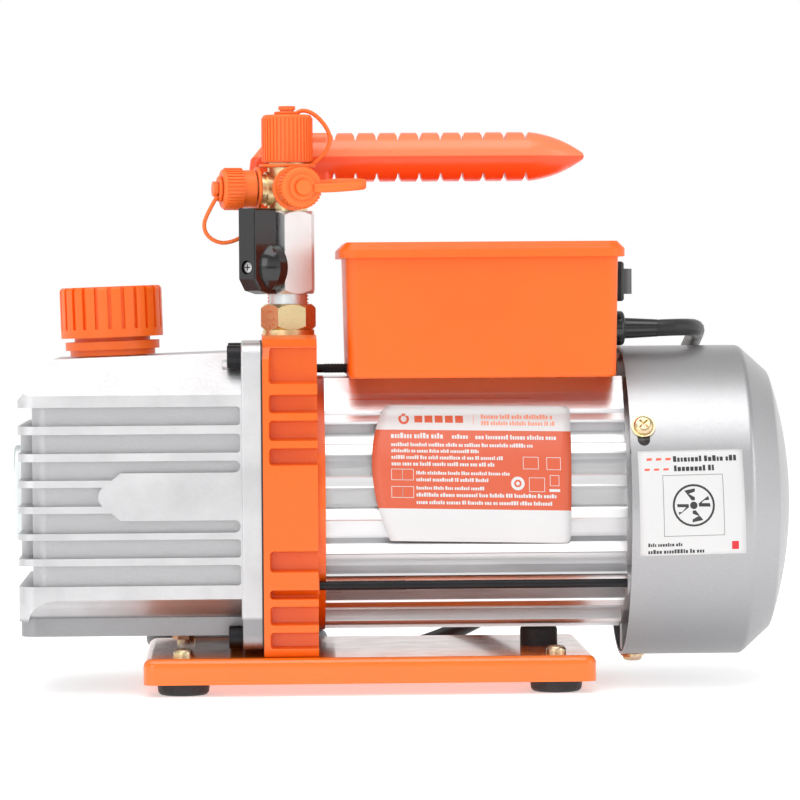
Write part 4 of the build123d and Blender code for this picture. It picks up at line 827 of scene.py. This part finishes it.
def cover_label():
    """The fan cover's label: a white film with a plain fan mark, and its print."""
    sheet = Builder()
    sheet.rows([[on_cover(i / 12, j / 24) for i in range(13)] for j in range(25)])
    label = sheet.make("cover_label", [PRINT["white"]], closed=False)
    thicken(label)
    black, grey, coral, red = range(4)
    ink = Builder()
    for row in COVER_ROWS:
        small_print(ink, on_cover, row, black, 1.0)
    frame_lines(ink, on_cover, COVER_BOX, grey, COVER_LINE, 0.04)
    disc(ink, on_cover, FAN_AT, FAN_RING_R, black, hole=0.9)
    disc(ink, on_cover, FAN_AT, FAN_HUB_R, black)
    for i in range(4):
        turn = i * math.tau / 4
        ink.add([on_cover(FAN_AT[0] + reach * math.cos(turn + swing),
                          FAN_AT[1] + reach * math.sin(turn + swing), INK)
                 for reach, swing in FAN_BLADE], kind=black)
    for i in range(3):
        ink.add([on_cover(s + SLANT_STEP * i, t, INK) for s, t in SLANT_BAR], kind=coral)
    patch(ink, on_cover, *COVER_SPOT, red, 0.05)
    inks = [PRINT["black"], PRINT["grey"], PRINT["coral"], PRINT["red"]]
    return [label, ink.make("cover_label_print", inks, closed=False)]


def thicken(sheet):
    """Gives a label its thickness, inwards from the drawn side."""
    solid = sheet.modifiers.new("thickness", "SOLIDIFY")
    solid.thickness = FILM * MM
    solid.offset = -1.0


PRINT = {
    "white": film("label_white", (0.7, 0.7, 0.7), 0.45),
    "orange": film("label_orange", (0.66, 0.11, 0.045), 0.45),
    "pale_orange": film("label_pale_orange", (0.87, 0.32, 0.2), 0.4),
    "black": film("label_black", (0.03, 0.03, 0.03), 0.4),
    "grey": film("label_grey", (0.25, 0.25, 0.25), 0.4),
    "coral": film("label_coral", (0.86, 0.12, 0.06), 0.4),
    "red": film("label_red", (0.68, 0.01, 0.02), 0.4),
}
for piece in motor_label() + cover_label():
    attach(piece, "frame")


# --- cap straps and the lever's screw -------------------------------------------------------
STACK = Vector((-49.5, -14.0, 0.0))     # upright axis of the valve and the manifold
PORT_Z = 217.6                      # height of the two level ports
FRONT_PORT = Vector((0.2079, -0.9781, 0.0))
LEFT_PORT = Vector((-0.9781, -0.2079, 0.0))
RING_OUT, EYELET_OUT = 13.6, 30.3       # from the upright axis, along a level port
TOP_RING_Z, TOP_EYELET_Z = 227.6, 250.6
TOP_RING_R, SIDE_RING_R = (8.9, 12.4), (6.6, 9.6)       # inside and outside
TOP_EYELET_R, SIDE_EYELET_R = (3.15, 5.6), (2.75, 5.6)
RING_THICK, EYELET_THICK = 1.4, 1.3
STRAP_WIDE, STRAP_THICK = 3.9, 1.7
# middle lines of the bands, each from its ring to its eyelet
TOP_STRAP = [(-40.6, -14.0, 227.8), (-37.6, -14.0, 229.0), (-35.2, -14.0, 231.0),
             (-33.0, -14.0, 233.4), (-31.3, -14.0, 236.6), (-30.9, -14.0, 240.4),
             (-32.5, -14.0, 244.4), (-35.5, -14.0, 248.2), (-39.0, -14.0, 250.8),
             (-42.5, -14.0, 251.7), (-45.0, -14.0, 250.9)]
FRONT_STRAP = [(-38.5, -25.0, 218.5), (-30.0, -27.5, 219.6), (-22.0, -30.2, 219.7),
               (-17.0, -32.8, 219.4), (-17.2, -36.2, 218.6), (-22.0, -39.5, 218.0),
               (-30.0, -41.5, 217.4), (-38.6, -42.8, 217.2)]
LEFT_STRAP = [(-62.6, -17.0, 209.2), (-64.0, -17.3, 204.0), (-66.8, -17.8, 199.2),
              (-70.9, -18.3, 196.1), (-74.4, -18.7, 194.7), (-78.4, -19.1, 194.3),
              (-82.4, -19.6, 195.8), (-85.1, -20.0, 198.7), (-85.8, -20.3, 202.2),
              (-84.8, -20.5, 205.7), (-82.3, -20.6, 210.6), (-80.0, -20.6, 214.6)]


def smooth_run(points, steps=5):
    """Points of a Catmull-Rom curve through the given ones."""
    points = [Vector(p) for p in points]
    padded = [points[0] * 2 - points[1]] + points + [points[-1] * 2 - points[-2]]
    run = []
    for a, b, c, d in zip(padded, padded[1:], padded[2:], padded[3:]):
        for i in range(steps):
            t = i / steps
            run.append(0.5 * (2 * b + (c - a) * t + (2 * a - 5 * b + 4 * c - d) * t ** 2
                              + (3 * b - a - 3 * c + d) * t ** 3))
    return run + [points[-1]]


def band(sheet, points, broad):
    """A flat strap along the points, wide along broad, with bevelled long edges."""
    run = smooth_run(points)
    wide, thick, edge = STRAP_WIDE, STRAP_THICK, STRAP_THICK * 0.3
    shape = [(wide / 2 - edge, thick / 2), (wide / 2, thick / 2 - edge),
             (wide / 2, edge - thick / 2), (wide / 2 - edge, -thick / 2),
             (edge - wide / 2, -thick / 2), (-wide / 2, edge - thick / 2),
             (-wide / 2, thick / 2 - edge), (edge - wide / 2, thick / 2)]
    rows = []
    for i, point in enumerate(run):
        ahead = (run[min(i + 1, len(run) - 1)] - run[max(i - 1, 0)]).normalized()
        out = ahead.cross(broad).normalized()
        across = out.cross(ahead)
        rows.append([(point + across * a + out * b) * MM for a, b in shape])
    sheet.rows(rows, closed=True, caps=True)


def washer(sheet, centre, axis, radii, thick):
    """A flat moulded ring with bevelled edges; radii are its inner and outer one."""
    side = axis.orthogonal().normalized()
    up = axis.cross(side)
    edge, half, steps = thick * 0.25, thick / 2, 48
    inner, outer = radii
    shape = [(outer - edge, -half), (outer, edge - half), (outer, half - edge),
             (outer - edge, half), (inner + edge, half), (inner, half - edge),
             (inner, edge - half), (inner + edge, -half)]
    rows = []
    for i in range(steps + 1):
        turn = i * math.tau / steps
        ray = side * math.cos(turn) + up * math.sin(turn)
        rows.append([(centre + ray * r + axis * h) * MM for r, h in shape])
    sheet.rows(rows, closed=True)


def make_straps():
    """Each cap's soft strap: a ring round the port, a band and an eyelet on the cap's knob."""
    port = Vector((0, 0, PORT_Z))
    plans = [("top_strap", "top_cap", Vector((0, 0, 1)), STACK + Vector((0, 0, TOP_RING_Z)),
              TOP_RING_R, STACK + Vector((0, 0, TOP_EYELET_Z)), TOP_EYELET_R,
              TOP_STRAP, Vector((0, 1, 0)))]
    for name, cap, axis, run, broad in (
            ("front_strap", "front_cap", FRONT_PORT, FRONT_STRAP, Vector((0, 0, 1))),
            ("left_strap", "left_cap", LEFT_PORT, LEFT_STRAP, Vector((0, 1, 0)))):
        plans.append((name, cap, axis, STACK + axis * RING_OUT + port, SIDE_RING_R,
                      STACK + axis * EYELET_OUT + port, SIDE_EYELET_R, run, broad))
    for name, cap, axis, ring, ring_r, eyelet, eyelet_r, run, broad in plans:
        axis = axis.normalized()
        sheet = Builder()
        washer(sheet, ring, axis, ring_r, RING_THICK)
        band(sheet, run, broad)
        washer(sheet, eyelet, axis, eyelet_r, EYELET_THICK)
        strap = sheet.make(name, [FINISHES["orange_soft"]])
        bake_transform(strap)
    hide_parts("cap_straps")


STEM_Z = 183.4                      # height of the lever's stem
STEM_OUT = Vector((-0.67, -0.742, 0.0)).normalized()
# the screw's head from its foot to its crown: distance out along the stem, and radius
HEAD_RINGS = ((24.6, 2.6), (25.7, 2.6), (26.2, 2.3), (26.45, 1.5), (26.5, 0.02))
CROSS_OUT = (26.3, 26.56)
CROSS_HALF = (0.28, 1.35)           # half the width and half the length of its two slots


def lever_screw():
    """The small cross-head screw sunk in the lever's hub."""
    sheet = Builder()
    side = STEM_OUT.cross(Vector((0, 0, 1)))
    foot = Vector((STACK.x, STACK.y, STEM_Z))

    def at(out, a, b):
        return (foot + STEM_OUT * out + side * a + Vector((0, 0, b))) * MM

    turns = [i * math.tau / RING_STEPS for i in range(RING_STEPS)]
    sheet.rows([[at(out, r * math.cos(turn), r * math.sin(turn)) for turn in turns]
                for out, r in HEAD_RINGS], closed=True)
    for a, b in (CROSS_HALF, reversed(CROSS_HALF)):
        sheet.rows([[at(out, -a, -b), at(out, a, -b), at(out, a, b), at(out, -a, b)]
                    for out in CROSS_OUT], kind=lambda row: 1, closed=True, caps=True)
    screw = sheet.make("lever_screw", [FINISHES["steel"], FINISHES["black_steel"]], smooth=False)
    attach(screw, "valve")


make_straps()
lever_screw()
